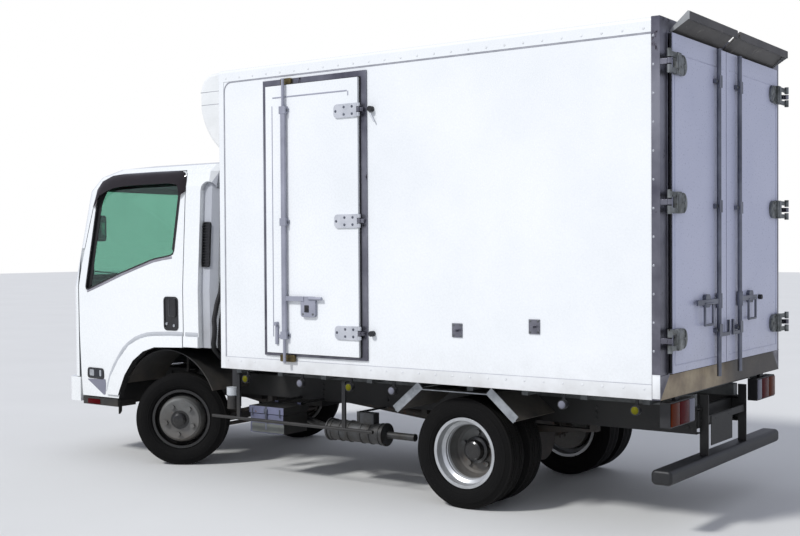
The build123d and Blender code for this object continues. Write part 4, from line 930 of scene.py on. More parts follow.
# Rubber sheet: flat black, dusty at the lower edge
apron_rubber = finish("black_rubber_apron", "#101011", "#191817", 90.0, 3.0, 0.72, bump=0.2,
                      dirt=("#4f4940", 0.3, 0.5, 0.3))


def plate_on(bm, points, place, low, high):
    # A thin plate that follows a panel: its outline, where it lies and its two depths
    tops = [bm.verts.new(place(p.x, p.y, high)) for p in points]
    lows = [bm.verts.new(place(p.x, p.y, low)) for p in points]
    bm.faces.new(tops)
    bm.faces.new(list(reversed(lows)))
    for k in range(len(points)):
        m = (k + 1) % len(points)
        bm.faces.new((tops[k], lows[k], lows[m], tops[m]))


APRON = [(430, 556), (826, 556), (826, 326), (814, 326), (797, 344), (795, 396), (430, 396)]
for side, end in SIDES:
    bm = bmesh.new()
    plate_on(bm, [Vector(p) for p in APRON], lambda y, z, x: mm(x, side * y, z), 4243.5, 4248.8)
    slab(bm, (4240.5, side * 664.0, 410.0), (4244.0, side * 820.0, 428.0), 1.2)
    for y in (684.0, 742.0, 800.0):
        pipe(bm, [(4241.0, side * y, 419.0), (4238.0, side * y, 419.0)], 6.0, 6)
    finished("step_apron_" + end, bm, apron_rubber, "cab")

# Under-run bar: a heavy rounded steel box section, painted black, on two drop plates with
# the empty black plate holder between them.

# Paint on rolled steel: even satin black with few rust specks
bar_paint = finish("black_paint_on_rolled_steel", "#121315", "#1a1b1d", 300.0, 4.0, 0.46, bump=0.1,
                   dirt=("#2b2824", 0.2, 0.4, 0.15), spots=("#3a2519", 40.0, 0.7))
dress(bar_paint, "rear_underrun")
also_dress("rear_underrun", chassis_paint, lambda face: face.center.z > 0.363)
heads = [(30.0, side * 313.0, z) for side in (1.0, -1.0) for z in (620.0, 560.0)]
bolts("drop_plate_bolts", heads, (-1, 0, 0), 9.0, 6.0, chassis_paint, "chassis")

# Lamps: moulded clusters with amber, red and clear lenses at the rear and small round
# side markers, yellow or clear, along the floor of the box.

# Moulded housing: satin black that frames the lenses
lamp_case = finish("black_lamp_housing", "#1b1b1d", "#252527", 50.0, 2.0, 0.45)
dress(lamp_case, "lamps")


def lens(name, colour, deep, ridges):
    # Clear or coloured acrylic, moulded with fine ridges that scatter the light
    material, tree, where = blank(name)
    lines = add(tree, "ShaderNodeTexWave", {"bands_direction": "Z"},
                {"Scale": 1000.0 / ridges, "Distortion": 0.4}, {"Vector": where}).outputs["Fac"]
    shade = add(tree, "ShaderNodeMix", {"data_type": "RGBA"}, {6: linear(colour), 7: linear(deep)}, {0: lines})
    relief = add(tree, "ShaderNodeBump", values={"Strength": 0.5, "Distance": 0.001}, links={"Height": lines})
    shader = add(tree, "ShaderNodeBsdfPrincipled",
                 values={"Roughness": 0.2, "IOR": 1.49, "Specular IOR Level": 0.04},
                 links={"Base Color": shade.outputs[2], "Normal": relief.outputs[0]})
    add(tree, "ShaderNodeOutputMaterial", links={"Surface": shader.outputs[0]})
    return material


# Unlit acrylic lenses: deep colours, darkened further as painted shade
red_lens = lens("red_acrylic_lens", "#58060c", "#340407", 16.0)
amber_lens = lens("amber_acrylic_lens", "#632508", "#401905", 16.0)
clear_lens = lens("clear_acrylic_lens", "#8a8b96", "#62636d", 16.0)
yellow_lens = lens("yellow_acrylic_lens", "#76731a", "#4c4a10", 16.0)
for side, name in SIDES:
    for label, near, far, material in (("amber", 716.0, 826.0, amber_lens), ("red", 584.0, 712.0, red_lens),
                                       ("clear", 509.0, 580.0, clear_lens)):
        bm = bmesh.new()
        slab(bm, (-15.0, side * near, 584.0), (-7.0, side * far, 706.0), 5.0)
        finished("tail_lens_" + label + "_" + name, bm, material, "chassis")
    for x, material in ((148.0, yellow_lens), (2040.0, yellow_lens), (2901.0, yellow_lens),
                        (574.0, clear_lens), (1715.0, clear_lens), (2433.0, clear_lens)):
        bm = bmesh.new()
        pipe(bm, [(x, side * 912.0, 672.0), (x, side * 921.0, 672.0)], 25.0, 24)
        dome = Matrix.Translation(mm(x, side * 920.0, 672.0)) @ Matrix.Diagonal((1.0, 0.62, 1.0, 1.0))
        bmesh.ops.create_uvsphere(bm, u_segments=24, v_segments=12, radius=0.0225, matrix=dome)
        finished("marker_lens_%s_%d" % (name, x), bm, material, "chassis")

# Cab shell and doors: pressed steel painted white with a clear coat outside; inside, grey
# moulded trim on the doors and pillars and a pale cloth headliner under the roof.

# Enamel under clear coat: bright white with sharp highlights
cab_paint = finish("white_enamel_on_pressed_steel", "#eef0f0", "#e9ecec", 1200.0, 20.0, 0.24, bump=0.02,
                   coat=0.6, dirt=("#8a8378", 0.44, 0.85, 0.12))
# Grained trim: mid grey without shine
inner_trim = finish("grey_moulded_trim", "#6b6e70", "#616466", 200.0, 1.6, 0.6, bump=0.12)
# Pale cloth: soft and matt
headliner = finish("pale_cloth_headliner", "#c9c9c4", "#bdbdb8", 120.0, 1.2, 0.85, bump=0.15, sheen=0.3)
dress(cab_paint, "cab_rear_wall", "cab_roof", "cab_front", "door_left", "door_right", "front_bumper")
CAB_MIDDLE = mm(4000.0, 0.0, 1300.0)
FRONT_PANEL = mm(4360.0, 0.0, 0.0).x
ARCH_END = mm(4345.0, 0.0, 0.0).x


# Which faces of the doors, front and rear wall look into the cab, and which lie in an arch
def door_inside(face):
    return abs(face.normal.y) > 0.6 and face.normal.y * face.center.y < 0.0 and face.center.z > 0.46


def front_inside(face):
    return face.normal.dot((CAB_MIDDLE - face.center).normalized()) > 0.35 and face.center.x > FRONT_PANEL


def rear_inside(face):
    return face.normal.x > 0.8 or (face.normal.y * face.center.y < 0.0 and abs(face.normal.y) > 0.8)


def under_arch(face):
    return 0.46 < face.center.z < 0.925 and face.normal.z < -0.25 and face.center.x < ARCH_END


also_dress("cab_rear_wall", inner_trim, rear_inside)
also_dress("cab_roof", headliner, lambda face: face.normal.z < -0.4)
also_dress("cab_front", inner_trim, front_inside)
also_dress("door_left", inner_trim, door_inside)
also_dress("door_right", inner_trim, door_inside)
# Underseal: rough black that hides the shapes in the wheel arch
arch_black = finish("black_underseal", "#0f1011", "#1b1a19", 90.0, 4.0, 0.75, bump=0.4)
for name in ("door_left", "door_right", "cab_rear_wall"):
    also_dress(name, arch_black, under_arch)
SIDE_LEVELS = [
    (442.0, 838.0, 4820.0), (1250.0, 848.0, 4812.0), (1960.0, 812.0, 4658.0), (2060.0, 790.0, 4560.0),
    (2112.0, 730.0, 4420.0),
]


def cab_level(z):
    # The half width and the front of the cab at one height
    for (z0, w0, f0), (z1, w1, f1) in zip(SIDE_LEVELS, SIDE_LEVELS[1:]):
        if z <= z1 or z1 == SIDE_LEVELS[-1][0]:
            t = (z - z0) / (z1 - z0)
            return w0 + (w1 - w0) * t, f0 + (f1 - f0) * t


CORNER_BEND = 190.0


def on_side(side):
    # Places points on one side of the cab by length, height and how far out they stand
    def place(x, z, out):
        w, f = cab_level(z)
        past = max(x - (f - CORNER_BEND), 0.0)
        y = w if past == 0.0 else w - CORNER_BEND + math.sqrt(max(CORNER_BEND ** 2 - past ** 2, 0.0))
        return mm(x, side * (y + out), z)
    return place


def on_nose(y, z, out):
    # The same on the front of the cab, by width and height
    w, f = cab_level(z)
    past = abs(y) - (w - CORNER_BEND)
    if past <= 0.0:
        x = f + 24.0 * (1.0 - (y / (w - CORNER_BEND)) ** 2)
    else:
        x = f - CORNER_BEND + math.sqrt(max(CORNER_BEND ** 2 - past ** 2, 0.0))
    return mm(x + out, y, z)


def rounded(points, reach, steps=5):
    # A closed outline with each corner cut back and bent, then divided along its sides
    result = []
    count = len(points)
    for i in range(count):
        before, here, after = (Vector(points[(i + k) % count]) for k in (-1, 0, 1))
        back = before - here
        onward = after - here
        start = here + back.normalized() * min(reach, back.length * 0.45)
        stop = here + onward.normalized() * min(reach, onward.length * 0.45)
        for k in range(steps + 1):
            t = k / steps
            result.append(start * (1 - t) ** 2 + here * 2 * t * (1 - t) + stop * t ** 2)
        if onward.length > 240.0:
            result.extend(here + onward * k for k in (0.3, 0.5, 0.7))
    return result


def moved_in(points, amount):
    # The same closed outline moved towards its inside
    count = len(points)
    area = sum(points[i - 1].cross(points[i]) for i in range(count))
    sign = 1.0 if area > 0.0 else -1.0
    result = []
    for i in range(count):
        along = (points[(i + 1) % count] - points[i - 1]).normalized()
        result.append(points[i] + Vector((-along.y, along.x)) * amount * sign)
    return result


def divided(points, longest, least=1):
    # The same closed outline with its sides cut into even pieces, so that it bends with a panel
    result = []
    for one, two in zip(points, points[1:] + points[:1]):
        pieces = max(least, int((two - one).length / longest))
        result.extend(one + (two - one) * (k / pieces) for k in range(pieces))
    return result


def edged(bm, outer, inner, depths, place):
    # A raised edge between two outlines: how far out it stands at the outer one, first its
    # foot and then its top, and at the inner one, first its top and then its foot
    foot, top, inner_top, inner_foot = depths
    skinned(bm, [[place(*a, foot), place(*a, top), place(*b, inner_top), place(*b, inner_foot)]
                 for a, b in zip(outer, inner)], joined=True)


def crease(bm, line, half, place, lift=0.0):
    # A low pressed ridge that follows a bent line on a curved panel
    ribbon(bm, line, ((half, 0.2 + lift), (0.0, 3.4 + lift), (-half, 0.2 + lift), (0.0, -1.0 + lift)), place)


# Painted shade of a pressed crease: a soft grey line on the white enamel
crease_painted_shade = finish("white_enamel_with_painted_crease_shade", "#b2b5b9", "#bcbfc3", 200.0, 8.0, 0.45)
# Painted shade under the lamp: a cool grey lilac patch laid thin on the white door
facet_painted_shade = finish("white_door_with_painted_shade_under_lamp", "#7f808c", "#767785", 200.0, 4.0, 0.45)
DOOR_CREASE = [
    (3560, 936), (3700, 934), (3840, 928), (3916, 920), (3976, 907), (4045, 884), (4112, 848), (4172, 803),
    (4222, 745), (4270, 684), (4312, 612), (4338, 545), (4354, 484),
]
UNDER_LAMP_SHADE = rounded([(4572, 566), (4372, 574), (4366, 540), (4374, 462), (4392, 458)], 6.0, 3)
for side, end in SIDES:
    bm = bmesh.new()
    crease(bm, DOOR_CREASE, 14.0, on_side(side))
    finished("arch_crease_" + end, bm, crease_painted_shade, "cab_door_" + end, 20.0)
    bm = bmesh.new()
    crease(bm, [(3414, 936), (3480, 936), (3534, 936)], 14.0, on_side(side))
    finished("corner_crease_" + end, bm, crease_painted_shade, "cab", 20.0)
    bm = bmesh.new()
    plate_on(bm, UNDER_LAMP_SHADE, on_side(side), 0.2, 1.4)
    finished("under_lamp_painted_shade_" + end, bm, facet_painted_shade, "cab_door_" + end, 20.0)

# Cab glass: toughened panes tinted green, held in black rubber, with a black printed
# border; the front screen is laminated.

# Tinted glass: clear and green, with a thin film of dust that blurs it here and there
tinted, tree, where = blank("green_tinted_safety_glass")
film = add(tree, "ShaderNodeTexNoise", values={"Scale": 6.0, "Detail": 4.0}, links={"Vector": where})
haze = add(tree, "ShaderNodeMapRange", values={"To Min": 0.0, "To Max": 0.05},
           links={"Value": film.outputs[0]})
tint = add(tree, "ShaderNodeMix", {"data_type": "RGBA"}, {6: linear("#a9d3c4"), 7: linear("#9ecbbb")},
           {0: film.outputs[0]})
shader = add(tree, "ShaderNodeBsdfPrincipled", values={"IOR": 1.52, "Transmission Weight": 1.0},
             links={"Base Color": tint.outputs[2], "Roughness": haze.outputs[0]})
add(tree, "ShaderNodeOutputMaterial", links={"Surface": shader.outputs[0]})
dress(tinted, "cab_glass", "door_glass_left", "door_glass_right")
# Window rubber: black, matt, a little shine on its lip
seal_rubber = finish("black_window_rubber", "#0d0d0f", "#151517", 60.0, 2.0, 0.6, bump=0.08)
# Anodised strip: a soft silver line under the glass
belt_alloy = finish("anodised_aluminium_moulding", "#a9a6ae", "#96949c", 120.0, 3.0, 0.35, metal=0.5)
WINDOW = [(4290, 2030), (4392, 1998), (4468, 1880), (4572, 1226), (4179, 1362), (3857, 1458), (3655, 1488),
          (3600, 1940), (3612, 2002), (3645, 2030)]
window_line = rounded(WINDOW, 40.0)
wide = moved_in(window_line, 36.0)
slim = moved_in(window_line, 4.0)
print_edge = [a if p.y > 1510.0 or p.x > 4535.0 else b for p, a, b in zip(window_line, wide, slim)]
BELT = [(4556, 1217), (4410, 1264), (4178, 1344), (4010, 1396), (3858, 1440), (3760, 1456), (3668, 1467)]
for side, door in SIDES:
    bm = bmesh.new()
    edged(bm, moved_in(window_line, -7.0), moved_in(window_line, 3.0), (-1.0, 2.5, 1.0, -17.5), on_side(side))
    edged(bm, moved_in(window_line, 2.0), print_edge, (-17.8, -16.5, -16.5, -17.8), on_side(side))
    finished("door_window_rubber_" + door, bm, seal_rubber, "cab_door_" + door)
    bm = bmesh.new()
    crease(bm, BELT, 8.0, on_side(side), 0.6)
    finished("door_belt_moulding_" + door, bm, belt_alloy, "cab_door_" + door, 20.0)
screen_line = divided(rounded([(-705, 1290), (705, 1290), (668, 2010), (-668, 2010)], 60.0, 6), 90.0)
bm = bmesh.new()
edged(bm, moved_in(screen_line, -12.0), moved_in(screen_line, 16.0), (-2.0, 2.5, 0.0, -11.5), on_nose)
finished("windscreen_rubber", bm, seal_rubber, "cab")
bm = bmesh.new()
edged(bm, moved_in(screen_line, -6.0), moved_in(screen_line, 44.0), (-19.6, -18.4, -18.4, -19.6), on_nose)
finished("windscreen_print", bm, seal_rubber, "cab")
pane_line = rounded([(-520, 1480), (520, 1480), (520, 1900), (-520, 1900)], 40.0)
bm = bmesh.new()
edged(bm, moved_in(pane_line, -10.0), moved_in(pane_line, 12.0), (3289.5, 3287.0, 3287.0, 3301.0),
      lambda y, z, x: mm(x, y, z))
finished("rear_pane_rubber", bm, seal_rubber, "cab")

# Rain visors: bent strips of smoke brown acrylic over the door windows, clipped under the
# frame and standing off the glass along their lower edge.

# Smoke acrylic: a glossy brown strip, nearly black against the sky
smoke, tree, where = blank("smoke_brown_acrylic")
cloud = add(tree, "ShaderNodeTexNoise", values={"Scale": 9.0, "Detail": 3.0}, links={"Vector": where})
tint = add(tree, "ShaderNodeMix", {"data_type": "RGBA"}, {6: linear("#3a262b"), 7: linear("#2c1c22")},
           {0: cloud.outputs[0]})
shader = add(tree, "ShaderNodeBsdfPrincipled",
             values={"Roughness": 0.06, "IOR": 1.49, "Transmission Weight": 0.8},
             links={"Base Color": tint.outputs[2]})
add(tree, "ShaderNodeOutputMaterial", links={"Surface": shader.outputs[0]})
VISOR_OUTER = [
    (4508, 1840), (4497, 1874), (4470, 1966), (4426, 2028), (4327, 2066), (4214, 2076), (3869, 2078),
    (3640, 2076), (3572, 2059), (3548, 2012), (3546, 1927),
]
VISOR_INNER = [
    (4486, 1842), (4472, 1863), (4426, 1922), (4347, 1953), (4269, 1974), (4126, 1984), (3870, 1986),
    (3705, 1987), (3622, 1973), (3603, 1932), (3603, 1890),
]
VISOR_BULGE = ((0.0, 5.0), (0.25, 13.0), (0.6, 19.0), (1.0, 21.0))
VISOR_THICK = 2.5
for side, door in SIDES:
    bm = bmesh.new()
    place = on_side(side)
    rows = []
    for (ox, oz), (ix, iz) in zip(VISOR_OUTER, VISOR_INNER):
        row = [(ox + (ix - ox) * t, oz + (iz - oz) * t, out) for t, out in VISOR_BULGE]
        back = [place(x, z, out - VISOR_THICK) for x, z, out in reversed(row)]
        rows.append([place(*p) for p in row] + back)
    skinned(bm, rows)
    bmesh.ops.subdivide_edges(bm, edges=list(bm.edges), cuts=1, smooth=0.4)
    finished("rain_visor_" + door, bm, smoke, "cab_door_" + door, 40.0)

# Door furniture: black moulded pull handles in recessed cups with the lock barrel below
# the grip, and a small lamp in a black case low at the front corner of each door.

# Glossy moulding: dark with a clear highlight
handle_black = finish("black_glossy_moulding", "#121214", "#1c1c20", 60.0, 2.0, 0.3, bump=0.04, coat=0.2)
# Clear lens over black: dark grey with fine ridges
dark_lens = lens("clear_lens_over_black_reflector", "#4b4d52", "#222327", 26.0)
# Chrome: a small mirror
bright_metal = finish("chromed_lock_barrel", "#c9cccf", "#b1b4b8", 40.0, 2.0, 0.2, metal=1.0)
for side, door in SIDES:
    place = on_side(side)
    bm = bmesh.new()
    cup = rounded([(3599, 958), (3742, 958), (3742, 1194), (3599, 1194)], 34.0, 6)
    edged(bm, cup, moved_in(cup, 12.0), (0.5, 5.0, 6.5, -0.5), place)
    plate_on(bm, moved_in(cup, 12.0), place, 0.3, 1.6)
    grip = rounded([(3612, 1052), (3688, 1052), (3688, 1186), (3612, 1186)], 20.0, 5)
    edged(bm, grip, moved_in(grip, 14.0), (4.0, 13.0, 16.0, 4.0), place)
    plate_on(bm, moved_in(grip, 12.0), place, 6.0, 14.5)
    finished("door_handle_" + door, bm, handle_black, "cab_door_" + door)
    bm = bmesh.new()
    for x, z in ((3712.0, 1004.0), (3640.0, 992.0)):
        pipe(bm, [on_drawing(place(x, z, out)) for out in (1.0, 6.5)], 10.0, 20)
    finished("door_lock_" + door, bm, bright_metal, "cab_door_" + door)
    bm = bmesh.new()
    lamp_edge = rounded([(4384, 572), (4566, 576), (4562, 654), (4388, 652)], 24.0, 5)
    edged(bm, lamp_edge, moved_in(lamp_edge, 13.0), (0.3, 5.5, 6.5, 0.3), place)
    finished("corner_lamp_case_" + door, bm, handle_black, "cab_door_" + door)
    bm = bmesh.new()
    plate_on(bm, moved_in(lamp_edge, 11.0), place, 0.3, 5.2)
    finished("corner_lamp_lens_" + door, bm, dark_lens, "cab_door_" + door)
    bm = bmesh.new()
    for low, high in ((4412.0, 4432.0), (4492.0, 4540.0)):
        bulb = rounded([(low, 592), (high, 593), (high, 640), (low, 639)], 9.0, 4)
        plate_on(bm, bulb, place, 4.8, 6.0)
    finished("corner_lamp_reflectors_" + door, bm, bright_metal, "cab_door_" + door)

# Rear corners of the cab: a pressed recess with a rounded head, in pale grey enamel, that
# holds the long black moulded outlet of the cab's ventilation.

# Pale grey enamel: a shade below the white of the doors
corner_grey = finish("pale_grey_enamel", "#b7babf", "#aeb1b8", 400.0, 6.0, 0.32, coat=0.3,
                     dirt=("#6c665c", 0.8, 1.3, 0.35))
RECESS_END = mm(3404.0, 0.0, 0.0).x


def in_corner(face):
    behind_side = abs(face.center.y) < (cab_level(face.center.z * 1000.0)[0] - 20.0) / 1000.0
    outside = face.center.x < RECESS_END and abs(face.center.y) > 0.74
    return outside and behind_side and face.material_index == 0


also_dress("cab_rear_wall", corner_grey, in_corner)
VENT = rounded([(3327, 1400), (3398, 1400), (3398, 1712), (3327, 1712)], 20.0, 5)
for side, end in SIDES:
    def in_recess(x, z, out):
        return mm(x, side * (cab_level(z)[0] - 36.0 + out), z)

    bm = bmesh.new()
    edged(bm, VENT, moved_in(VENT, 8.0), (0.2, 16.0, 18.0, 0.2), in_recess)
    plate_on(bm, moved_in(VENT, 7.0), in_recess, 0.2, 4.0)
    for k in range(15):
        x, y, z = on_drawing(in_recess(3362.0, 1419.0 + k * 19.6, 9.0))
        slab(bm, (x - 30.0, y - 6.0, z - 3.0), (x + 30.0, y + 6.0, z + 3.0), 1.0)
    finished("cab_vent_" + end, bm, handle_black, "cab")


# Front face: plain black grille of slats between the lamps, clear headlamp glasses with
# amber turn lamps above them, lower air slots and two wipers parked on the screen.
def bent_slat(y, width, low, high):
    # The outline of one slat, with a corner in the middle so that it bends with the panel
    half = width / 2.0
    return [Vector(p) for p in ((y, low), (y + half, low), (y + width, low),
                                (y + width, high), (y + half, high), (y, high))]


bm = bmesh.new()
mouth = divided(rounded([(-560, 872), (560, 872), (540, 1010), (-540, 1010)], 26.0, 5), 80.0)
edged(bm, mouth, moved_in(mouth, 12.0), (0.3, 5.0, 6.0, 0.3), on_nose)
for z in (886.0, 908.0, 930.0, 952.0, 974.0, 996.0):
    for y in range(-520, 520, 80):
        plate_on(bm, bent_slat(y, 80.0, z - 6.0, z + 3.0), on_nose, 0.3, 4.0)
finished("front_grille", bm, handle_black, "cab")
# Clear cover over a faceted reflector: broken patches of silver under a sharp gloss
headlamp_glass, tree, where = blank("clear_polycarbonate_over_reflector")
facets = add(tree, "ShaderNodeTexVoronoi", values={"Scale": 42.0}, links={"Vector": where})
silver = add(tree, "ShaderNodeMix", {"data_type": "RGBA"}, {6: linear("#c9ced2"), 7: linear("#7e868c")},
             {0: facets.outputs["Distance"]})
shader = add(tree, "ShaderNodeBsdfPrincipled",
             values={"Metallic": 0.7, "Roughness": 0.16, "Coat Weight": 1.0, "Coat IOR": 1.58},
             links={"Base Color": silver.outputs[2]})
add(tree, "ShaderNodeOutputMaterial", links={"Surface": shader.outputs[0]})
dress(headlamp_glass, "headlamps")
for side, end in SIDES:
    surround = [Vector((side * y, z)) for y, z in ((474, 634), (744, 634), (744, 786), (474, 786))]
    surround = divided(surround, 90.0, 4)
    bm = bmesh.new()
    edged(bm, surround, moved_in(surround, 9.0), (0.2, 3.0, 4.0, 0.2), on_nose)
    finished("headlamp_surround_" + end, bm, handle_black, "cab")
    turn = [Vector((side * y, z)) for y, z in ((484, 796), (734, 796), (734, 842), (484, 842))]
    bm = bmesh.new()
    plate_on(bm, divided(turn, 90.0, 4), on_nose, 0.3, 4.0)
    finished("turn_lamp_" + end, bm, amber_lens, "cab")


def on_bumper(y, z, out):
    # The front of the bumper bulges forward in the middle
    return mm(4822.0 + 24.0 * (1.0 - (y / 737.0) ** 2) + out, y, z)


bm = bmesh.new()
for low, high in ((432.0, 446.0), (460.0, 474.0), (488.0, 502.0)):
    for y in range(-360, 360, 90):
        plate_on(bm, bent_slat(y, 90.0, low, high), on_bumper, 0.0, 1.6)
finished("bumper_air_slots", bm, handle_black, "cab")
WIPER_ARM = ((0.0, 3.0), (0.02, 11.0), (0.35, 12.0), (0.7, 11.0), (1.0, 9.0))
bm = bmesh.new()
for root, tip in (((-560.0, 1268.0), (-60.0, 1322.0)), ((60.0, 1268.0), (560.0, 1322.0))):
    reach = tip[0] - root[0]
    rise = tip[1] - root[1]
    arm = [on_nose(root[0] + reach * t, root[1] + rise * t, out) for t, out in WIPER_ARM]
    pipe(bm, [on_drawing(p) for p in arm], 5.0, 10)
    blade = [on_nose(root[0] + reach * t, root[1] + 40.0 + 50.0 * t, 4.5)
             for t in (0.1, 0.3, 0.5, 0.7, 0.9, 1.05)]
    pipe(bm, [on_drawing(p) for p in blade], 4.5, 8)
finished("wipers", bm, seal_rubber, "cab")

# Mirrors: black moulded plastic cases held by black steel tubes from the front panel, each
# with a silvered glass set in its rear face.
dress(handle_black, "mirrors")
# Silvered glass: a clean mirror
mirror_silver = finish("silvered_mirror_glass", "#e2e6e8", "#d9dee0", 200.0, 30.0, 0.03, metal=1.0)
MIRROR_X = 4790.0
for side, end in SIDES:
    bm = bmesh.new()
    slab(bm, (MIRROR_X - 1.5, side * 474.0, 1606.0), (MIRROR_X + 2.0, side * 592.0, 1774.0), 1.2)
    finished("mirror_glass_" + end, bm, mirror_silver, "cab")

# Steps: black moulded boards under the doors with a ribbed top and a red reflector in
# their outer edge.

# Ribbed plastic: black, greyed by mud
step_black = finish("black_ribbed_plastic", "#111213", "#1b1c1d", 90.0, 4.0, 0.55, bump=0.15,
                    dirt=("#60584c", 0.3, 0.5, 0.4))
dress(step_black, "cab_steps")
for side, end in SIDES:
    bm = bmesh.new()
    slab(bm, (4440.0, side * 830.0, 384.0), (4576.0, side * 835.0, 420.0), 2.0)
    finished("step_reflector_" + end, bm, red_lens, "cab")
    slats("step_ribs_" + end, 12, (4262.0, side * 738.0, 434.5), (31.5, 0, 0), (10.0, 150.0, 3.0),
          (0.0, 0.0, 0.0), step_black, "cab")

# Cab floor: pressed steel, painted, with the seat platform and engine hump welded in and a
# black ribbed rubber mat laid over the footwell and the hump.

# Ribbed rubber: dull black with trodden dust
floor_mat = finish("black_ribbed_rubber_mat", "#1d1d1e", "#292928", 120.0, 6.0, 0.7, bump=0.6,
                   stretch=(0.2, 3.0, 1.0), spots=("#5c5549", 80.0, 0.6))
dress(inner_trim, "cab_floor")
also_dress("cab_floor", floor_mat, lambda face: face.normal.z > 0.6)
also_dress("cab_floor", chassis_paint, lambda face: (
    face.normal.z < -0.6 or (face.normal.z <= 0.6 and face.center.z < 0.66)))

# Seats: a driver's seat and a double seat of foam in grey woven cloth, blown up over the
# foam as cloth, sewn in channels and piped with vinyl along their edges.

# Woven cloth: soft dark grey with a fine weave and a pale edge of fibres
seat_cloth = finish("grey_woven_seat_cloth", "#474a50", "#393c41", 70.0, 1.4, 0.9, bump=0.3, sheen=0.35)
# Vinyl piping: a thin shiny black line
piping_vinyl = finish("black_vinyl_piping", "#1a1a1c", "#252528", 50.0, 2.0, 0.45, bump=0.1)
VOXEL = 0.014
BLOWN_FRAMES = 20
CUSHION_LINE = [(3568, 992), (4054, 992), (4054, 1112), (3612, 1112), (3600, 1094), (3568, 1094)]
BACK_LINE = [(3484, 1106), (3592, 1106), (3506, 1676), (3433, 1676)]
SEATS = [
    {"name": "driver_seat", "low": -738.0, "high": -242.0, "channels": (-600.0, -490.0, -380.0)},
    {"name": "double_seat", "low": -198.0, "high": 738.0,
     "channels": (-70.0, 40.0, 150.0, 270.0, 390.0, 500.0, 610.0)},
]


def blown_pad(name, outline, low, high, cap):
    line = rounded(outline, 26.0, 4)
    stations = ((low, 22.0), (low + 8.0, 10.0), (low + 26.0, 4.0),
                (high - 26.0, 4.0), (high - 8.0, 10.0), (high, 22.0))
    bm = bmesh.new()
    skinned(bm, [[mm(p.x, y, p.y) for p in moved_in(line, inset)] for y, inset in stations])
    piece = finished(name, bm, seat_cloth, "cab", 180.0)
    even = piece.modifiers.new("even", "REMESH")
    even.mode = "VOXEL"
    even.voxel_size = VOXEL
    piece.data = mesh = applied(piece)
    before = [vert.co.copy() for vert in mesh.vertices]
    cloth = piece.modifiers.new("blown", "CLOTH")
    cloth.settings.use_pressure = True
    cloth.settings.uniform_pressure_force = 4.0
    cloth.settings.effector_weights.gravity = 0.0
    cloth.point_cache.frame_start = 1
    cloth.point_cache.frame_end = BLOWN_FRAMES
    for step in range(1, BLOWN_FRAMES + 1):
        bpy.context.scene.frame_set(step)
    shown = piece.evaluated_get(bpy.context.evaluated_depsgraph_get())
    swollen = [vert.co.copy() for vert in shown.data.vertices]
    piece.modifiers.clear()
    bpy.context.scene.frame_set(1)
    for vert, old, new in zip(mesh.vertices, before, swollen):
        moved = new - old
        if moved.length > cap / 1000.0:
            moved = moved * (cap / 1000.0 / moved.length)
        vert.co = old + moved
    smoother = piece.modifiers.new("round", "SUBSURF")
    smoother.levels = 1
    mesh = applied(piece)
    mesh.name = name
    piece.data = mesh
    mesh.materials.clear()
    mesh.materials.append(seat_cloth)
    for face in mesh.polygons:
        face.use_smooth = True
    return piece


SWELLING = 16.0
CHANNEL_DEPTH = 7.0
CHANNEL_WIDTH = 8.0
PADS = (
    {"part": "cushion", "outline": CUSHION_LINE, "up": Vector((0, 0, 1)), "edge": 13.0,
     "from": 3660, "to": 4030},
    {"part": "back", "outline": BACK_LINE, "up": Vector((1, 0, 0)), "edge": 10.0,
     "from": 1140, "to": 1650},
)
for seat in SEATS:
    for kind in PADS:
        name = seat["name"] + "_" + kind["part"]
        cushion = kind["part"] == "cushion"
        pad = blown_pad(name, kind["outline"], seat["low"], seat["high"], SWELLING)
        floor_z = min(p[1] for p in kind["outline"]) / 1000.0
        facings = [vert.normal.dot(kind["up"]) for vert in pad.data.vertices]
        for vert, facing in zip(pad.data.vertices, facings):
            if facing > 0.5:
                y = vert.co.y * 1000.0
                cut = max(math.exp(-((y - middle) / CHANNEL_WIDTH) ** 2) for middle in seat["channels"])
                vert.co -= kind["up"] * (CHANNEL_DEPTH / 1000.0) * cut
            if cushion and vert.co.z < floor_z:
                vert.co.z = floor_z
        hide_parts("seats")
        # The piping is drawn clear of the pad and laid on the nearest point of its skin
        low = seat["low"] + kind["edge"]
        high = seat["high"] - kind["edge"]
        corners = [(kind["from"], low), (kind["to"], low), (kind["to"], high), (kind["from"], high)]
        loop = rounded(corners, 60.0, 6)
        if cushion:
            above = [(p.x, p.y, 1150.0) for p in loop]
        else:
            above = [(3660.0 - (p.x - 1140.0) * 0.15, p.y, p.x) for p in loop]
        skin = BVHTree.FromPolygons([vert.co for vert in pad.data.vertices],
                                    [tuple(face.vertices) for face in pad.data.polygons])
        path = [on_drawing(skin.find_nearest(mm(*point))[0]) for point in above]
        bm = bmesh.new()
        pipe(bm, path + path[:1], 4.0, 8)
        finished(name + "_piping", bm, piping_vinyl, "cab")

# Dashboard: one grey moulded panel with a hooded dial pair before the driver, slatted air
# outlets, a blank radio with three knobs, a glove box lid and a steering wheel in vinyl.

# Grained moulding: an even dark grey without shine
dash_grain = finish("dark_grey_grained_moulding", "#3a3c3f", "#303235", 120.0, 1.2, 0.6, bump=0.2)
dress(dash_grain, "dashboard")
# Grained vinyl: black, polished a little by hands
wheel_vinyl = finish("black_grained_vinyl", "#151517", "#202023", 60.0, 1.0, 0.5, bump=0.2)
dress(wheel_vinyl, "steering_wheel")
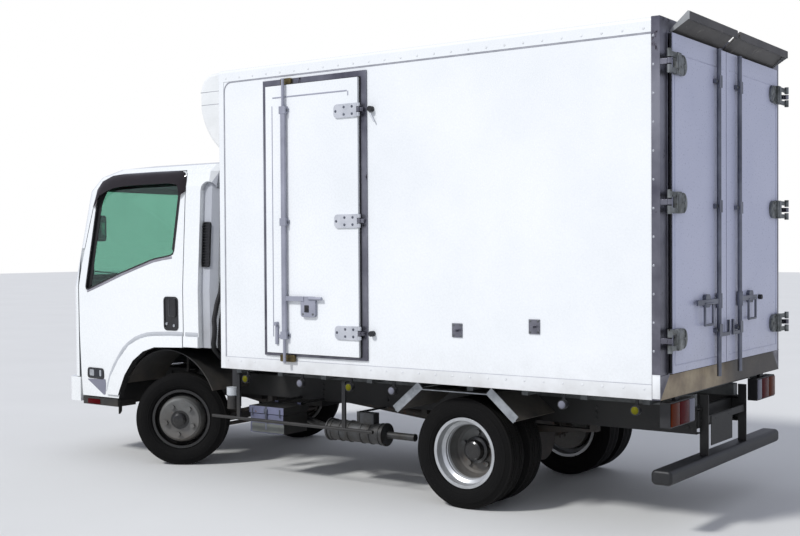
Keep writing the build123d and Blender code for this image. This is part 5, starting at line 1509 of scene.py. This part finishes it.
# Matt dials: black with no shine at all
dial_face = finish("matt_black_dial", "#0c0c0e", "#141416", 40.0, 2.0, 0.7)
bm = bmesh.new()
slab(bm, (4460.0, -560.0, 1096.0), (4482.0, -240.0, 1214.0), 8.0)
slab(bm, (4430.0, -572.0, 1210.0), (4500.0, -228.0, 1222.0), 5.0)
slab(bm, (4472.0, -150.0, 1086.0), (4482.0, 60.0, 1140.0), 3.0)
slab(bm, (4474.0, 200.0, 1072.0), (4482.0, 640.0, 1168.0), 4.0)
finished("dashboard_hood_and_lids", bm, dash_grain, "cab")
bm = bmesh.new()
for y in (-482.0, -318.0):
    pipe(bm, circle(4459.0, y, 1152.0, 46.0), 3.0, 6)
for y in (-120.0, -45.0, 30.0):
    pipe(bm, [(4473.0, y, 1066.0), (4462.0, y, 1066.0)], 13.0, 20)
finished("dial_rims_and_knobs", bm, bar_steel, "cab")
bm = bmesh.new()
for y in (-482.0, -318.0):
    pipe(bm, [(4462.0, y, 1152.0), (4458.5, y, 1152.0)], 44.0, 28)
slab(bm, (4476.0, -150.0, 1160.0), (4481.0, 60.0, 1204.0), 2.0)
for y in (120.0, 690.0):
    slab(bm, (4476.0, y - 44.0, 1172.0), (4481.0, y + 44.0, 1210.0), 2.0)
finished("dial_faces_and_outlets", bm, dial_face, "cab")
for count, (middle, width) in enumerate(((-45.0, 204.0), (120.0, 84.0), (690.0, 84.0))):
    low = 1166.0 if middle < 0.0 else 1177.0
    slats("air_outlet_%d" % count, 5, (4474.5, middle, low), (0, 0, 8.0), (6.0, width, 2.0), (0.0, 0.5, 0.0),
          dash_grain, "cab")

# Small controls: a bent gear lever with a round knob on the hump and three foot pedals,
# fixed to the cab; they have no joints.
bm = bmesh.new()
lever = [(4335.0, -70.0, 672.0), (4330.0, -70.0, 980.0), (4270.0, -86.0, 1110.0), (4258.0, -90.0, 1150.0)]
pipe(bm, lever, 8.0, 12)
for y in (-520.0, -400.0, -290.0):
    pipe(bm, [(4740.0, y, 985.0), (4700.0, y, 860.0), (4652.0, y, 800.0)], 7.0, 10)
finished("gear_lever_and_pedal_arms", bm, chassis_paint, "cab")
bm = bmesh.new()
bmesh.ops.create_uvsphere(bm, u_segments=20, v_segments=12, radius=0.026,
                          matrix=Matrix.Translation(mm(4256.0, -90.0, 1166.0)))
for y in (-520.0, -400.0, -290.0):
    wide = 24.0 if y < -300.0 else 17.0
    slab(bm, (4634.0, y - wide, 772.0), (4650.0, y + wide, 838.0), 5.0)
slab(bm, (4300.0, -110.0, 676.0), (4370.0, -30.0, 704.0), 10.0)
finished("gear_knob_and_pedal_pads", bm, wheel_vinyl, "cab")
